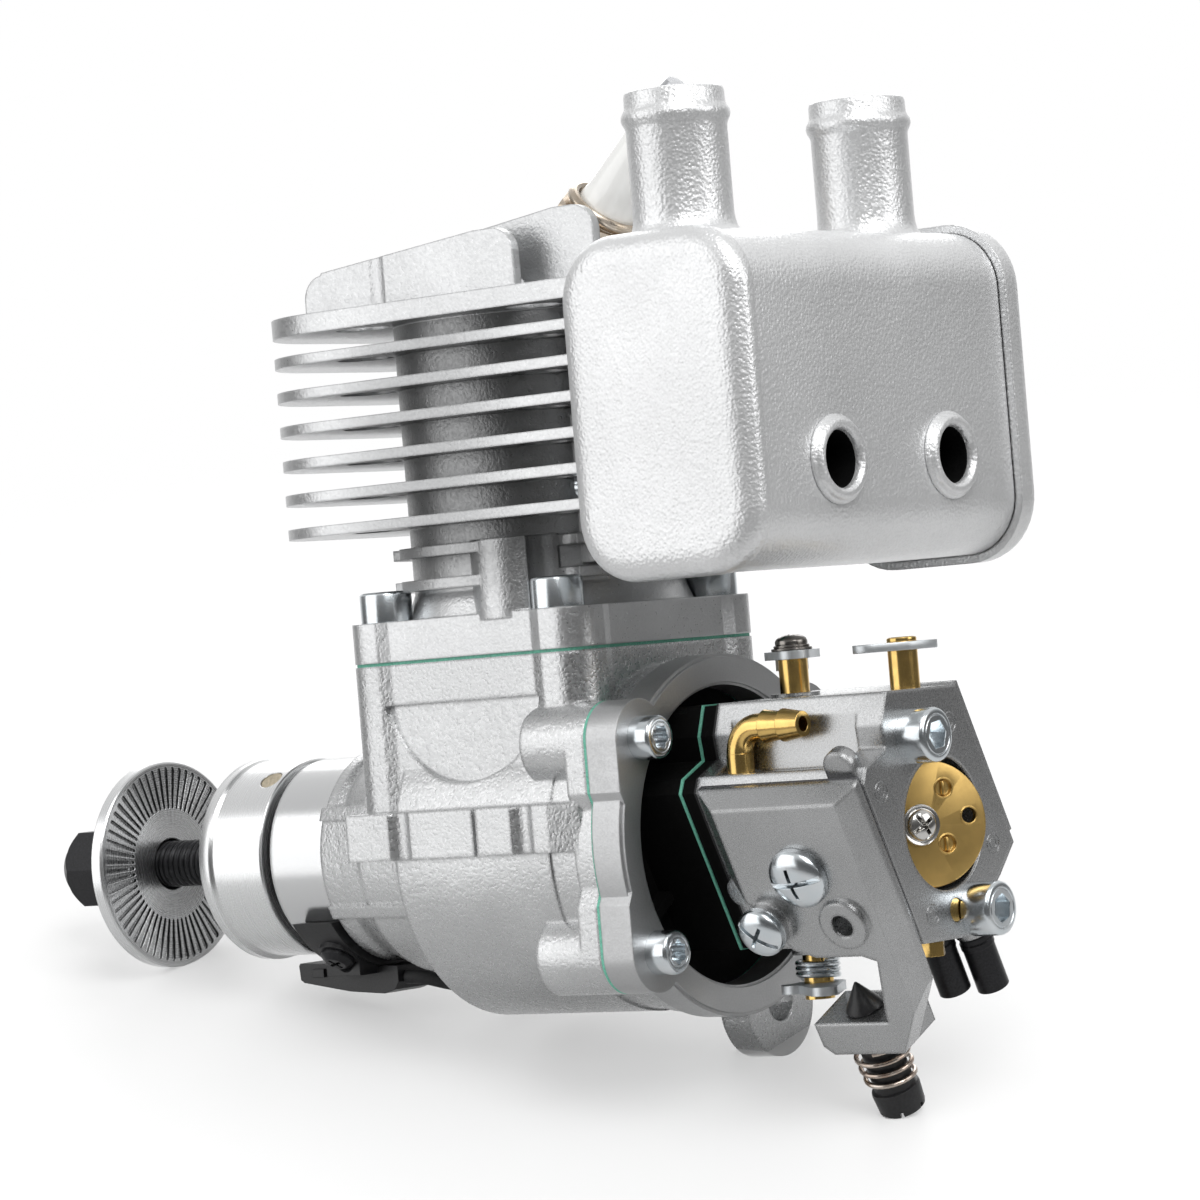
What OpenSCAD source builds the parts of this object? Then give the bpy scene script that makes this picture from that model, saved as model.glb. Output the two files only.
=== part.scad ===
/* [Crank train] */
// Cylinder bore
bore_d = 34; // [31:0.5:36]
// Piston stroke
stroke = 28; // [24:1:29]
// Distance between the two pins of the connecting rod
rod_len = 52; // [50:1:56]
// Main journal diameter of the crankshaft
journal_d = 12; // [10:1:13]
// Crankpin diameter
crankpin_d = 10; // [8:0.5:10]
// Wrist pin diameter
wrist_pin_d = 8; // [6:0.5:8.5]
// Thickness of the crank web
web_t = 6; // [5:0.5:6.5]

/* [Crankcase] */
// Distance from the rear face to the cylinder axis
cyl_x = 34; // [33:0.5:37]
// Inner radius of the crank chamber
chamber_r = 24.5; // [24.5:0.5:27]
// Wall of the crank chamber
chamber_wall = 3; // [2.75:0.25:4]
// Height of the deck that the cylinder sits on
deck_z = 31.4; // [31:0.2:34]
// Side of the square cylinder deck
deck_w = 49.2; // [48.6:0.2:54]
// Radius of the machined nose
nose_r = 16.5; // [16:0.25:18]
// Radius of the cast root of the nose
nose_root_r = 18.2; // [17.8:0.1:19]
// Front end of the nose, from the rear face
nose_x = 85.5; // [83:0.5:90]
// Height of the side rails
rail_t = 7.6; // [5:0.2:9]
// Half width over the side rails
rail_y = 29.5; // [29:0.25:34]

/* [Rear cover] */
// Thickness of the rear cover ring
cover_t = 6; // [4:0.5:8]
// Radius of the opening in the rear cover
cover_open_r = 24; // [22:0.5:24.5]
// Outer radius of the rear cover
cover_r = 29; // [28.5:0.5:31]
// Height of the upper and lower cover screws from the crank axis
cover_screw_z = 16.8; // [15:0.2:19]
// Side distance of the cover screws from the crank axis
cover_screw_y = 22.3; // [21:0.1:24]

/* [Cylinder] */
// Outer radius of the cylinder barrel
barrel_r = 22; // [21:0.25:23]
// Number of wide cooling fins
fin_count = 7; // [5:1:8]
// Distance from one wide fin to the next
fin_pitch = 5.65; // [5:0.05:5.8]
// Thickness of a wide fin
fin_t = 1.7; // [1.2:0.1:2.4]
// Half width of the fins across the engine
fin_y = 27.5; // [26.5:0.5:32]
// Reach of the fins ahead of the cylinder axis
fin_front = 42; // [38:0.5:46]
// Distance of the base screws from the front and rear edges of the deck
base_inset_x = 6.6; // [6:0.2:7]
// Distance of the base screws from the side edges of the deck
base_inset_y = 4.4; // [4:0.2:5.2]
// Tilt of the spark plug towards the rear
plug_tilt = 42; // [36:1:46]

/* [Muffler] */
// Depth of the muffler box along the crank axis
muffler_x = 34; // [30:1:42]
// Length of the muffler box across the engine
muffler_y = 76; // [70:1:90]
// Height of the muffler box
muffler_z = 52; // [48:1:60]
// Sheet thickness of the muffler
muffler_wall = 1.2; // [0.8:0.1:2]
// Corner radius of the muffler box
muffler_r = 9.5; // [6:0.5:12]
// Outer diameter of the outlet tubes
outlet_d = 15.7; // [12:0.1:18]
// Distance between the two muffler screws
muffler_screw_dy = 30.4; // [28:0.2:34]

/* [Carburettor] */
// Lean of the carburettor about its bore
carb_lean = 26; // [20:1:30]
// Length of the carburettor body along its bore
carb_len = 32; // [31:0.5:36]
// Distance between the two carburettor bolts
carb_bolt_pitch = 31; // [30:0.1:32.4]
// Diameter of the air intake
intake_d = 20.8; // [19:0.2:21.4]
// Diameter of the throttle bore
throttle_bore_d = 16; // [13:0.5:17]
// Diameter of the throttle and choke shafts
carb_shaft_d = 4.7; // [4:0.1:5]
// How far open the choke stands at rest
choke_rest = 30; // [0:5:60]

/* [Propeller drive] */
// Diameter of the propeller hub
hub_d = 34; // [31:0.5:36]
// Length of the propeller hub
hub_len = 13.5; // [12:0.5:18]
// Diameter of the propeller washer
washer_d = 36; // [28:1:40]
// Room for the propeller between hub and washer
prop_gap = 22; // [12:1:26]
// Diameter of the propeller bolt
prop_bolt_d = 8.2; // [6:0.2:8.4]

/* [Hidden] */
$fn = 48;

// length of a cutter that passes right through
through = 120;

// clearances shared by the fits
run_gap = 0.05;
body_gap = 0.3;
fit_gap = 0.1;
gasket_t = 0.5;
eps = 0.01;

// socket head screws: shank radius, head radius, head height
m3 = [1.5, 2.75, 3];
m4 = [2, 3.5, 4];
m5 = [2.5, 4.25, 5];

// crankcase, from the rear face forwards
case_x0 = cover_t + gasket_t;
chamber_x1 = cyl_x + 12.5;
chamber_out_r = chamber_r + chamber_wall;
case_edge_x = chamber_x1 + 2;
pad_x0 = cyl_x - 18.2;
pad_rise = 0.3;
nose_seat_x = nose_x - 12.2;
root_edge = 1.2;
root_dip = 0.8;
panel_top = deck_z - 6.6;
panel_r = 16.5;
panel_depth = 1.5;
side_dip = 0.8;
flange_pocket = 3.3;
seat_r = bore_d / 2 + 1.6;
bearing_r = 14;
bearing_w = 8;
rear_bearing_x = chamber_x1 + 1;
front_bearing_x = nose_x - 11.5;
ball_ring_r = (bearing_r + journal_d / 2) / 2;
ball_r = 2.2;
rail_x0 = cyl_x - 25;
rail_x1 = cyl_x + 23.2;
ear_r = 6.3;
cover_boss_x1 = case_x0 + 13;
lug_y = -17.6;
lug_z = -28.4;
lug_r = 9;
lug_hole_r = 3.3;
lug_t = 5.5;

// crank train at top dead centre
crank_r = stroke / 2;
web_x0 = chamber_x1 - 0.5 - web_t;
web_r = min(chamber_r - 3, deck_z - 9.9, rod_len - stroke - 2.5);
web_hole_r = web_r * 0.35;
web_hole_y = web_r * 0.767;
web_hole_z = web_r * 0.558;
wrist_z = crank_r + rod_len;
crown_z = wrist_z + 17;
skirt_z = wrist_z - 16;
rod_half = 4.5;
pin_x1 = web_x0 - body_gap;

// cylinder
base_screw_dx = deck_w - 2 * base_inset_x;
base_screw_dy = deck_w - 2 * base_inset_y;
base_z = deck_z + gasket_t;
base_top_z = base_z + 6.5;
fin_top_z = base_top_z + 49.6;
head_z = fin_top_z + 1.6;
fin_rear = 35;
screw_hole_r = 4.6;
skirt_low = deck_z - 9;
plug_tip = [cyl_x - 4, 0, crown_z + 2.9];
plug_seat = 12.7;
port_z = 57.2;
port_flange_x = -2.5;

// muffler
muffler_x1 = port_flange_x - gasket_t;
muffler_x0 = muffler_x1 - muffler_x;
muffler_z0 = 41.5;
muffler_z1 = muffler_z0 + muffler_z;
access_r = 4.5;
access_out_r = 6.2;
outlet_x = (muffler_x0 + muffler_x1) / 2 + 1.7;
outlet_y = 24.2;
outlet_top = muffler_z1 + 22.6;
lid_y = -muffler_y / 2 + 5.5;

// intake and carburettor, from the tower rearwards
tower_x = -5;
spacer_t = 2.5;
carb_x1 = tower_x - 2 * gasket_t - spacer_t;
carb_x0 = carb_x1 - carb_len;
carb_top = 21.2;
carb_bottom = -18;
carb_side = 15;
bolt_v = carb_bolt_pitch / 2;
throttle_x = carb_x1 - 5.7;
choke_x = carb_x0 + 4;
choke_y = 1.5;
shaft_r = carb_shaft_d / 2;
gasket_h = 1.4;
pump_h0 = carb_side + gasket_h;
pump_h1 = pump_h0 + 4.6;
post_h = pump_h1 + 1.8;
ring_h = pump_h1 + 1;
cover_screw_at = [carb_x1 - 18.8, 3.6];
post_at = [carb_x1 - 9.6, -4.6];
ring_at = [carb_x1 - 23.8, -5];
elbow_x = carb_x1 - 6.1;
elbow_y = 16.3;
elbow_z = 6.2;
idle_x = throttle_x - 12;
idle_h = carb_side + 1.6;
idle_r = 1.8;
bracket_v0 = -28.6;
bracket_v1 = -23;
idle_cap_v = -36.6;
needle_v = -19.8;
needle_stem = -bolt_v - m5[0] - 0.4 - needle_v;
lever_z = 27.2;
stop_z = -25.4;
throttle_rest = 20;
stop_angle = 130;

// propeller drive
hub_x0 = nose_x + 2;
hub_x1 = hub_x0 + hub_len + 0.5;
washer_t = 3.5;
washer_x0 = hub_x1 + prop_gap;
washer_x1 = washer_x0 + washer_t;
magnet_angle = 56;
magnet_x = hub_x0 + 2.8;
bolt_flat = 13;

// sensor under the nose
holder_x0 = nose_seat_x + 0.2;
holder_x1 = nose_x - 3.4;
holder_top = -10.4;
sensor_x0 = nose_x - 15.9;
sensor_x1 = nose_x + 6.2;
sensor_y = 4.6;
sensor_screw_angle = 213;
sensor_top = -hub_d / 2 - 0.9;
lead_d = 2.4;
lead_path = [
    [sensor_x0, 2.4, -20.9], [sensor_x0 - 1, 2.2, -20.9], [66.5, 1.4, -21.1], [62.5, -1.6, -22.6],
    [59, -7, -23.8], [56.5, -13, -24], [55, -19, -23], [54.5, -25.5, -22], [54.6, -31.5, -20.9], [55.8, -37, -19.6],
    [58, -41.5, -18], [61, -45.6, -16], [63.44, -49.22, -14.26], [64.97, -52.3, -13.21]
];
coil_centre = [71.5, -65.5, -8.7];
coil_r = 13;
coil_wire_r = 2.4;
floor_tilt = [-13.9, -10.3, 0];

// a cylinder along the crank axis between two stations
module xcyl(r, x0, x1, r1 = -1) {
    translate([x0, 0, 0]) rotate([0, 90, 0]) cylinder(h = x1 - x0, r1 = r, r2 = r1 < 0 ? r : r1);
}

// an outline drawn in y and z, extruded along the crank axis
module xslab(x0, x1) {
    translate([x0, 0, 0]) rotate([90, 0, 90]) linear_extrude(x1 - x0) children();
}

// the carburettor's own frame: y points to the pump side, z along its bolt line
module lean() { rotate([-carb_lean, 0, 0]) children(); }

// rectangle with round corners of one radius
module round_rect(x0, x1, y0, y1, r) {
    translate([x0 + r, y0]) square([x1 - x0 - 2 * r, y1 - y0]);
    translate([x0, y0 + r]) square([x1 - x0, y1 - y0 - 2 * r]);
    for (x = [x0 + r, x1 - r], y = [y0 + r, y1 - r]) translate([x, y]) circle(r);
}

// socket head screw along +Z, head above z = 0, with its hexagon socket
module socket_screw(size, length) {
    difference() {
        union() {
            translate([0, 0, -length]) cylinder(h = length, r = size[0]);
            cylinder(h = size[2] - 0.4, r = size[1]);
            translate([0, 0, size[2] - 0.4]) cylinder(h = 0.4, r1 = size[1], r2 = size[1] - 0.4);
        }
        translate([0, 0, size[2] * 0.52]) cylinder(h = size[2], r = size[0] * 0.92, $fn = 6);
    }
}

// pan head screw along +Z, head above z = 0, with a crossed drive
module pan_screw(shank_r, head_r, head_h, length) {
    difference() {
        union() {
            translate([0, 0, -length]) cylinder(h = length, r = shank_r);
            cylinder(h = head_h * 0.45, r = head_r);
            translate([0, 0, head_h * 0.45]) cylinder(h = head_h * 0.55, r1 = head_r, r2 = head_r * 0.62);
        }
        for (a = [20, 110]) rotate(a) translate([-head_r * 0.5, -head_r * 0.1, head_h * 0.4])
            cube([head_r, head_r * 0.2, head_h]);
    }
}

// places its children at the four cover screws
module at_cover_screws() {
    for (y = [-1, 1], z = [-1, 1]) translate([0, y * cover_screw_y, z * cover_screw_z]) children();
}

// places its children at the four base screws
module at_base_screws() {
    for (x = [-1, 1], y = [-1, 1])
        translate([cyl_x + x * base_screw_dx / 2, y * base_screw_dy / 2, 0]) children();
}

// outline of the rear joint: the ring, its four ears and the shoulders between them
module cover_outline(r = cover_r) {
    circle(r);
    for (y = [-1, 1], z = [-1, 1]) {
        translate([y * cover_screw_y, z * cover_screw_z]) circle(ear_r);
        polygon([[0, 0], [y * (cover_screw_y + ear_r), z * cover_screw_z * 0.98],
            [y * (cover_screw_y + ear_r), z * (cover_screw_z - 8)], [y * chamber_r, 0]]);
    }
}

// outline of the deck: corner pads with the sides between them set back
module deck_outline(inset = 0) {
    w = deck_w / 2 - inset;
    difference() {
        round_rect(cyl_x - w, cyl_x + w, -w, w, 5 - inset);
        for (a = [0 : 90 : 270]) translate([cyl_x, 0]) rotate(a)
            polygon([[-deck_w / 2 + 7.4, w + 1], [-deck_w / 2 + 7.4, w], [-deck_w / 2 + 9.8, w - side_dip],
                [deck_w / 2 - 9.8, w - side_dip], [deck_w / 2 - 7.4, w], [deck_w / 2 - 7.4, w + 1]]);
    }
}

// side rail with the grooves of its scalloped edge and its sloped rear end
module side_rail() {
    difference() {
        linear_extrude(rail_t) polygon([[rail_x0, 0], [rail_x0, rail_y - 1.6], [rail_x0 + 5.4, rail_y],
            [rail_x1 - 0.8, rail_y], [rail_x1, rail_y - 0.8], [rail_x1, 0]]);
        for (x = [cyl_x + 11.2, cyl_x - 14.3]) translate([x, rail_y + 1.4, -eps]) cylinder(h = rail_t + 1, r = 2.6);
        translate([cyl_x - 4.9, rail_y - 0.7, -eps]) cube([0.6, 2, rail_t + 1]);
    }
}

// cast root of the nose: dished between its ribs, with a rounded front lip
module nose_root() {
    lip_x = nose_seat_x - root_edge;
    xcyl(nose_root_r + 3.8, case_edge_x, lip_x - 10, nose_root_r + 2.2);
    xcyl(nose_root_r + 2.2, lip_x - 10, lip_x - 2.6, nose_root_r - root_dip);
    xcyl(nose_root_r - root_dip, lip_x - 3, lip_x - 1.5, nose_root_r);
    xcyl(nose_root_r, lip_x - 1.5, lip_x + 0.3);
    xcyl(nose_root_r, lip_x + 0.3, nose_seat_x, nose_root_r - root_edge);
    // pads on both sides, framed by an upper and a lower rib
    intersection() {
        xcyl(nose_root_r + 3.8, case_edge_x, lip_x, nose_root_r + 0.6);
        translate([case_edge_x, -chamber_r, -8]) cube([nose_seat_x - case_edge_x, 2 * chamber_r, 15]);
    }
    for (z = [-9.8, 6.6]) intersection() {
        xcyl(nose_root_r + 4.6, case_edge_x, lip_x + 0.4, nose_root_r + 0.9);
        translate([case_edge_x, -chamber_r, z]) cube([nose_seat_x - case_edge_x, 2 * chamber_r, 2.2]);
    }
}

module crankcase() {
    color("silver") difference() {
        union() {
            xcyl(chamber_out_r, case_x0, pad_x0 + 1);
            xcyl(chamber_out_r + pad_rise, pad_x0, case_edge_x - 0.8);
            xcyl(chamber_out_r + pad_rise, case_edge_x - 0.8, case_edge_x, chamber_out_r - 0.4);
            nose_root();
            xcyl(nose_r, nose_seat_x - 1, nose_x);
            xslab(case_x0, case_x0 + 4) cover_outline(chamber_out_r + 0.6);
            at_cover_screws() xcyl(ear_r, case_x0, cover_boss_x1);
            // column under the cylinder, then the side rails
            linear_extrude(deck_z) deck_outline();
            for (m = [0, 1]) mirror([0, m, 0]) side_rail();
            // rear lug below the far side
            xslab(case_x0 + 0.5, case_x0 + 0.5 + lug_t) {
                translate([lug_y, lug_z]) circle(lug_r);
                rotate(atan2(lug_z, lug_y)) translate([norm([lug_y, lug_z]) - 11, -lug_r + 0.6])
                    square([11, 2 * lug_r - 1.2]);
            }
        }
        // crank chamber, pocket for the intake block, bearing seats and seal seat
        xcyl(chamber_r, case_x0 - 1, chamber_x1);
        xcyl(chamber_r + 1, case_x0 - 1, case_x0 + flange_pocket);
        xcyl(bearing_r, chamber_x1 - 1, rear_bearing_x + bearing_w);
        xcyl(bearing_r - 3, rear_bearing_x, nose_x + 1);
        xcyl(bearing_r, front_bearing_x, nose_x + 1);
        // seat of the cylinder skirt
        translate([cyl_x, 0, skirt_low - 0.8]) cylinder(h = deck_z, r = seat_r + fit_gap);
        at_cover_screws() xcyl(m4[0] + fit_gap, case_x0 - 1, case_x0 + 10);
        at_base_screws() translate([0, 0, deck_z - 11]) cylinder(h = 12, r = m5[0] + fit_gap);
        translate([case_x0, lug_y, lug_z]) xcyl(lug_hole_r, -1, lug_t + 2);
        // cast panel above each rail: straight on top, round below
        for (y = [-1, 1]) intersection() {
            translate([cyl_x + 0.4, y * (deck_w / 2 - panel_depth + 5), panel_top + 3.4]) rotate([90, 0, 0])
                cylinder(h = 10, r = panel_r, center = true);
            translate([cyl_x - panel_r, -deck_w, panel_top - panel_r]) cube([2 * panel_r + 1, 2 * deck_w, panel_r]);
        }
    }
}

// one row of balls between the races of a bearing
module ball_row(x) {
    for (a = [0 : 45 : 315]) rotate([a, 0, 0]) translate([x + bearing_w / 2, 0, ball_ring_r]) sphere(ball_r);
}

// the ball track cut into a race
module ball_track(x) {
    translate([x + bearing_w / 2, 0, 0]) rotate([0, 90, 0]) rotate_extrude()
        translate([ball_ring_r, 0]) circle(ball_r + run_gap);
}

module main_bearings() {
    color("gainsboro") for (x = [rear_bearing_x, front_bearing_x]) {
        difference() {
            xcyl(bearing_r - run_gap, x, x + bearing_w);
            xcyl(bearing_r - 2.4, x - 1, x + bearing_w + 1);
            ball_track(x);
        }
        ball_row(x);
    }
}

module inner_races() {
    color("gainsboro") for (x = [rear_bearing_x, front_bearing_x]) difference() {
        xcyl(journal_d / 2 + 2.4, x, x + bearing_w);
        xcyl(journal_d / 2 + run_gap / 2, x - 1, x + bearing_w + 1);
        ball_track(x);
    }
}

module oil_seal() {
    color("dimgray") difference() {
        xcyl(bearing_r - run_gap, nose_x - 3.3, nose_x - 0.2);
        xcyl(journal_d / 2 + body_gap, nose_x - 4, nose_x);
        xcyl(bearing_r - 2.5, nose_x - 1.2, nose_x);
    }
}

module rear_cover() {
    color("silver") difference() {
        union() {
            xslab(0.6, cover_t) cover_outline();
            xslab(0, 0.6) difference() {
                cover_outline(cover_r - 0.5);
                circle(cover_open_r + 0.4);
            }
        }
        xcyl(cover_open_r, -1, cover_t + 1);
        at_cover_screws() xcyl(m4[0] + fit_gap, -1, cover_t + 1);
    }
}

module cover_gasket() {
    color("mediumseagreen") xslab(cover_t, case_x0) difference() {
        cover_outline(cover_r - 0.4);
        circle(cover_open_r + 0.2);
        for (y = [-1, 1], z = [-1, 1]) translate([y * cover_screw_y, z * cover_screw_z]) circle(m4[0] + fit_gap);
    }
}

module cover_screws() {
    color("lightgray") at_cover_screws() rotate([0, -90, 0]) socket_screw(m4, cover_t + 8);
}

module crankshaft() {
    color("lightsteelblue") difference() {
        union() {
            xcyl(web_r, web_x0, web_x0 + web_t);
            xcyl(journal_d / 2 + 3, web_x0 + web_t - 1, rear_bearing_x);
            xcyl(journal_d / 2, rear_bearing_x - 1, hub_x0 + 2);
            xcyl(journal_d / 2, hub_x0 + 2, hub_x1 - 3, journal_d / 2 - 0.8);
        }
        // socket of the crankpin and the lightened throw around it
        translate([0, 0, crank_r]) xcyl(crankpin_d / 2, web_x0 - 1, web_x0 + web_t + 1);
        for (y = [-1, 1]) translate([0, y * web_hole_y, web_hole_z]) xcyl(web_hole_r, web_x0 - 1, web_x0 + web_t + 1);
        // thread of the propeller bolt
        xcyl(prop_bolt_d / 2 - 0.7 + fit_gap, hub_x1 - 16, hub_x1);
    }
}

module crankpin() {
    color("lightsteelblue") translate([0, 0, crank_r]) difference() {
        xcyl(crankpin_d / 2, cyl_x - rod_half - 0.6, pin_x1);
        xcyl(crankpin_d / 4, cyl_x - rod_half - 1, cyl_x + 1);
    }
}

// rod outline: two eyes joined by a tapered shank
module rod_outline(grow = 0) {
    translate([0, crank_r]) circle(crankpin_d / 2 + 4 + grow);
    translate([0, wrist_z]) circle(wrist_pin_d / 2 + 3.4 + grow);
    polygon([[-5.6, crank_r + 6], [5.6, crank_r + 6], [4, wrist_z - 5], [-4, wrist_z - 5]]);
}

module connecting_rod() {
    color("slategray") difference() {
        union() {
            xslab(cyl_x - 3, cyl_x + 3) rod_outline();
            translate([0, 0, crank_r]) xcyl(crankpin_d / 2 + 3.6, cyl_x - rod_half, cyl_x + rod_half);
            translate([0, 0, wrist_z]) xcyl(wrist_pin_d / 2 + 3, cyl_x - rod_half, cyl_x + rod_half);
        }
        translate([0, 0, crank_r]) xcyl(crankpin_d / 2 + 2, 0, web_x0);
        translate([0, 0, wrist_z]) xcyl(wrist_pin_d / 2 + 1.4, 0, web_x0);
        // the hollows that make the shank an H section
        for (x = [cyl_x - 4, cyl_x + 1.2]) xslab(x, x + 2.8) polygon([
            [-3.6, crank_r + crankpin_d / 2 + 7], [3.6, crank_r + crankpin_d / 2 + 7],
            [2.6, wrist_z - wrist_pin_d / 2 - 6], [-2.6, wrist_z - wrist_pin_d / 2 - 6]]);
    }
}

module rod_bearings() {
    color("burlywood") {
        translate([0, 0, crank_r]) difference() {
            xcyl(crankpin_d / 2 + 2 - run_gap, cyl_x - rod_half + 0.5, cyl_x + rod_half - 0.5);
            xcyl(crankpin_d / 2 + run_gap, 0, web_x0);
        }
        translate([0, 0, wrist_z]) difference() {
            xcyl(wrist_pin_d / 2 + 1.4 - run_gap, cyl_x - rod_half + 0.5, cyl_x + rod_half - 0.5);
            xcyl(wrist_pin_d / 2 + run_gap, 0, web_x0);
        }
    }
}

module piston() {
    r = bore_d / 2 - run_gap;
    color("silver") translate([cyl_x, 0, 0]) difference() {
        union() {
            difference() {
                translate([0, 0, skirt_z]) cylinder(h = crown_z - skirt_z, r = r);
                translate([0, 0, skirt_z - 1]) cylinder(h = crown_z - skirt_z - 2.6, r = r - 2.6);
            }
            // bosses of the wrist pin
            intersection() {
                translate([0, 0, skirt_z]) cylinder(h = crown_z - skirt_z, r = r);
                translate([0, 0, wrist_z]) for (s = [-1, 1]) translate([s * 10.6, 0, 0])
                    rotate([0, 90, 0]) cylinder(h = 11, r = wrist_pin_d / 2 + 3, center = true);
            }
        }
        translate([0, 0, wrist_z]) rotate([0, 90, 0])
            cylinder(h = bore_d + 2, r = wrist_pin_d / 2 + run_gap, center = true);
        // ring groove
        translate([0, 0, crown_z - 3]) difference() {
            cylinder(h = 1.5, r = r + 1);
            translate([0, 0, -1]) cylinder(h = 4, r = r - 1.9);
        }
    }
}

module piston_ring() {
    color("darkgray") translate([cyl_x, 0, crown_z - 2.95]) difference() {
        cylinder(h = 1.4, r = bore_d / 2 - run_gap / 2);
        translate([0, 0, -1]) cylinder(h = 4, r = bore_d / 2 - 1.75);
        translate([0, -0.2, -1]) cube([bore_d, 0.4, 4]);
    }
}

module wrist_pin() {
    half = bore_d / 2 - 3.2;
    color("lightsteelblue") translate([cyl_x, 0, wrist_z]) {
        difference() {
            xcyl(wrist_pin_d / 2, -half, half);
            xcyl(wrist_pin_d / 2 - 2, -half - 1, half + 1);
        }
        // the two spring clips that hold it
        for (s = [-1, 1]) translate([s * (half + 0.6), 0, 0]) rotate([0, 90, 0]) rotate_extrude()
            translate([wrist_pin_d / 2 - 0.5, 0]) circle(0.45, $fn = 16);
    }
}

// outline of a wide fin: large round front corners, small rear ones
module fin_outline() {
    front_r = min(19, fin_y - 1);
    rear_r = 5;
    translate([-fin_rear + rear_r, -fin_y]) square([fin_front + fin_rear - rear_r - front_r, 2 * fin_y]);
    translate([-fin_rear, -fin_y + rear_r]) square([fin_rear, 2 * (fin_y - rear_r)]);
    translate([0, -fin_y + front_r]) square([fin_front, 2 * (fin_y - front_r)]);
    for (y = [-1, 1]) {
        translate([fin_front - front_r, y * (fin_y - front_r)]) circle(front_r);
        translate([-fin_rear + rear_r, y * (fin_y - rear_r)]) circle(rear_r);
    }
}

// upright head fin along the crank axis, sloping down to the front
module head_fin(y, x0, x1, z_rear, z_front) {
    translate([0, y, 0]) rotate([90, 0, 0]) linear_extrude(1.8, center = true) {
        polygon([[x0, head_z - 1], [x0, z_rear - 4], [x0 + 4, z_rear], [x0 + 8, z_rear],
            [x1 - 4, z_front + 1], [x1, z_front - 4], [x1, head_z - 1]]);
        translate([x0 + 4.2, z_rear - 4.2]) circle(4.2);
        translate([x1 - 4, z_front - 3.4]) circle(4);
    }
}

// the plug's own frame: z runs out of the head along the plug
module along_plug() { translate(plug_tip) rotate([0, -plug_tilt, 0]) children(); }

module cylinder_fins() {
    for (i = [0 : fin_count - 1]) translate([cyl_x, 0, fin_top_z - i * fin_pitch - fin_t / 2])
        linear_extrude(fin_t) fin_outline();
    // the top fin is thicker
    translate([cyl_x, 0, fin_top_z - 1.6]) linear_extrude(3.2) fin_outline();
    for (z = [base_top_z + 4.6, base_top_z + 9.9]) translate([cyl_x, 0, z]) cylinder(h = fin_t, r = barrel_r + 3);
}

module cylinder_node() {
    duct_y = 13;
    color("silver") difference() {
        union() {
            translate([cyl_x, 0, base_z]) cylinder(h = fin_top_z - base_z, r = barrel_r);
            translate([cyl_x, 0, skirt_low]) cylinder(h = 12, r = seat_r);
            translate([0, 0, base_z]) linear_extrude(base_top_z - base_z) deck_outline();
            translate([cyl_x, 0, base_top_z]) cylinder(h = 4, r1 = barrel_r + 1.6, r2 = barrel_r);
            cylinder_fins();
            // exhaust duct and its flange
            translate([port_flange_x + 5, -duct_y, port_z - 12]) cube([cyl_x, 2 * duct_y, 24]);
            xslab(port_flange_x, port_flange_x + 6) translate([0, port_z - 13.5])
                round_rect(-muffler_screw_dy / 2 - 7, muffler_screw_dy / 2 + 7, 0, 27, 6);
            // transfer bulges beside the barrel
            for (y = [-1, 1]) translate([cyl_x - 8, y * (barrel_r - 5), base_top_z - 1])
                cylinder(h = port_z - base_top_z - 6, r = 7.6);
            // head boss, upright fins and the boss that holds the plug
            translate([cyl_x, 0, fin_top_z]) cylinder(h = 5.5, r1 = 15, r2 = 12.5);
            for (y = [-1, 1]) {
                head_fin(y * 15, cyl_x - 11, cyl_x + 34, fin_top_z + 12.2, fin_top_z + 8);
                head_fin(y * 9.6, cyl_x - 23.5, cyl_x + 34, fin_top_z + 14.6, fin_top_z + 8);
            }
            along_plug() cylinder(h = plug_seat, r = 8.6);
        }
        // bore with its dome, exhaust port and plug hole
        translate([cyl_x, 0, deck_z - 20]) cylinder(h = crown_z - deck_z + 20.5, r = bore_d / 2);
        translate([cyl_x, 0, crown_z + 0.5 - eps]) cylinder(h = 4.5, r1 = bore_d / 2 - 3, r2 = 6);
        translate([muffler_x0, -8, port_z - 6]) cube([cyl_x - muffler_x0, 16, 12]);
        along_plug() translate([0, 0, -4]) cylinder(h = plug_seat + 5, r = 5 + fit_gap);
        along_plug() translate([0, 0, plug_seat]) cylinder(h = 12, r = 9.3);
        // base screw holes and the tool holes above them
        at_base_screws() translate([0, 0, base_z - 1]) cylinder(h = 9, r = m5[0] + fit_gap);
        at_base_screws() translate([0, 0, base_top_z]) cylinder(h = through, r = screw_hole_r);
        for (y = [-1, 1]) translate([0, y * muffler_screw_dy / 2, port_z])
            xcyl(m5[0] + fit_gap, port_flange_x - 1, port_flange_x + 7);
    }
}

module base_gasket() {
    color("mediumseagreen") translate([0, 0, deck_z]) linear_extrude(gasket_t) difference() {
        deck_outline(0.3);
        translate([cyl_x, 0]) circle(seat_r + fit_gap);
        for (x = [-1, 1], y = [-1, 1])
            translate([cyl_x + x * base_screw_dx / 2, y * base_screw_dy / 2]) circle(m5[0] + fit_gap);
    }
}

module base_screws() {
    color("lightgray") at_base_screws() translate([0, 0, base_top_z]) socket_screw(m5, 17);
}

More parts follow.
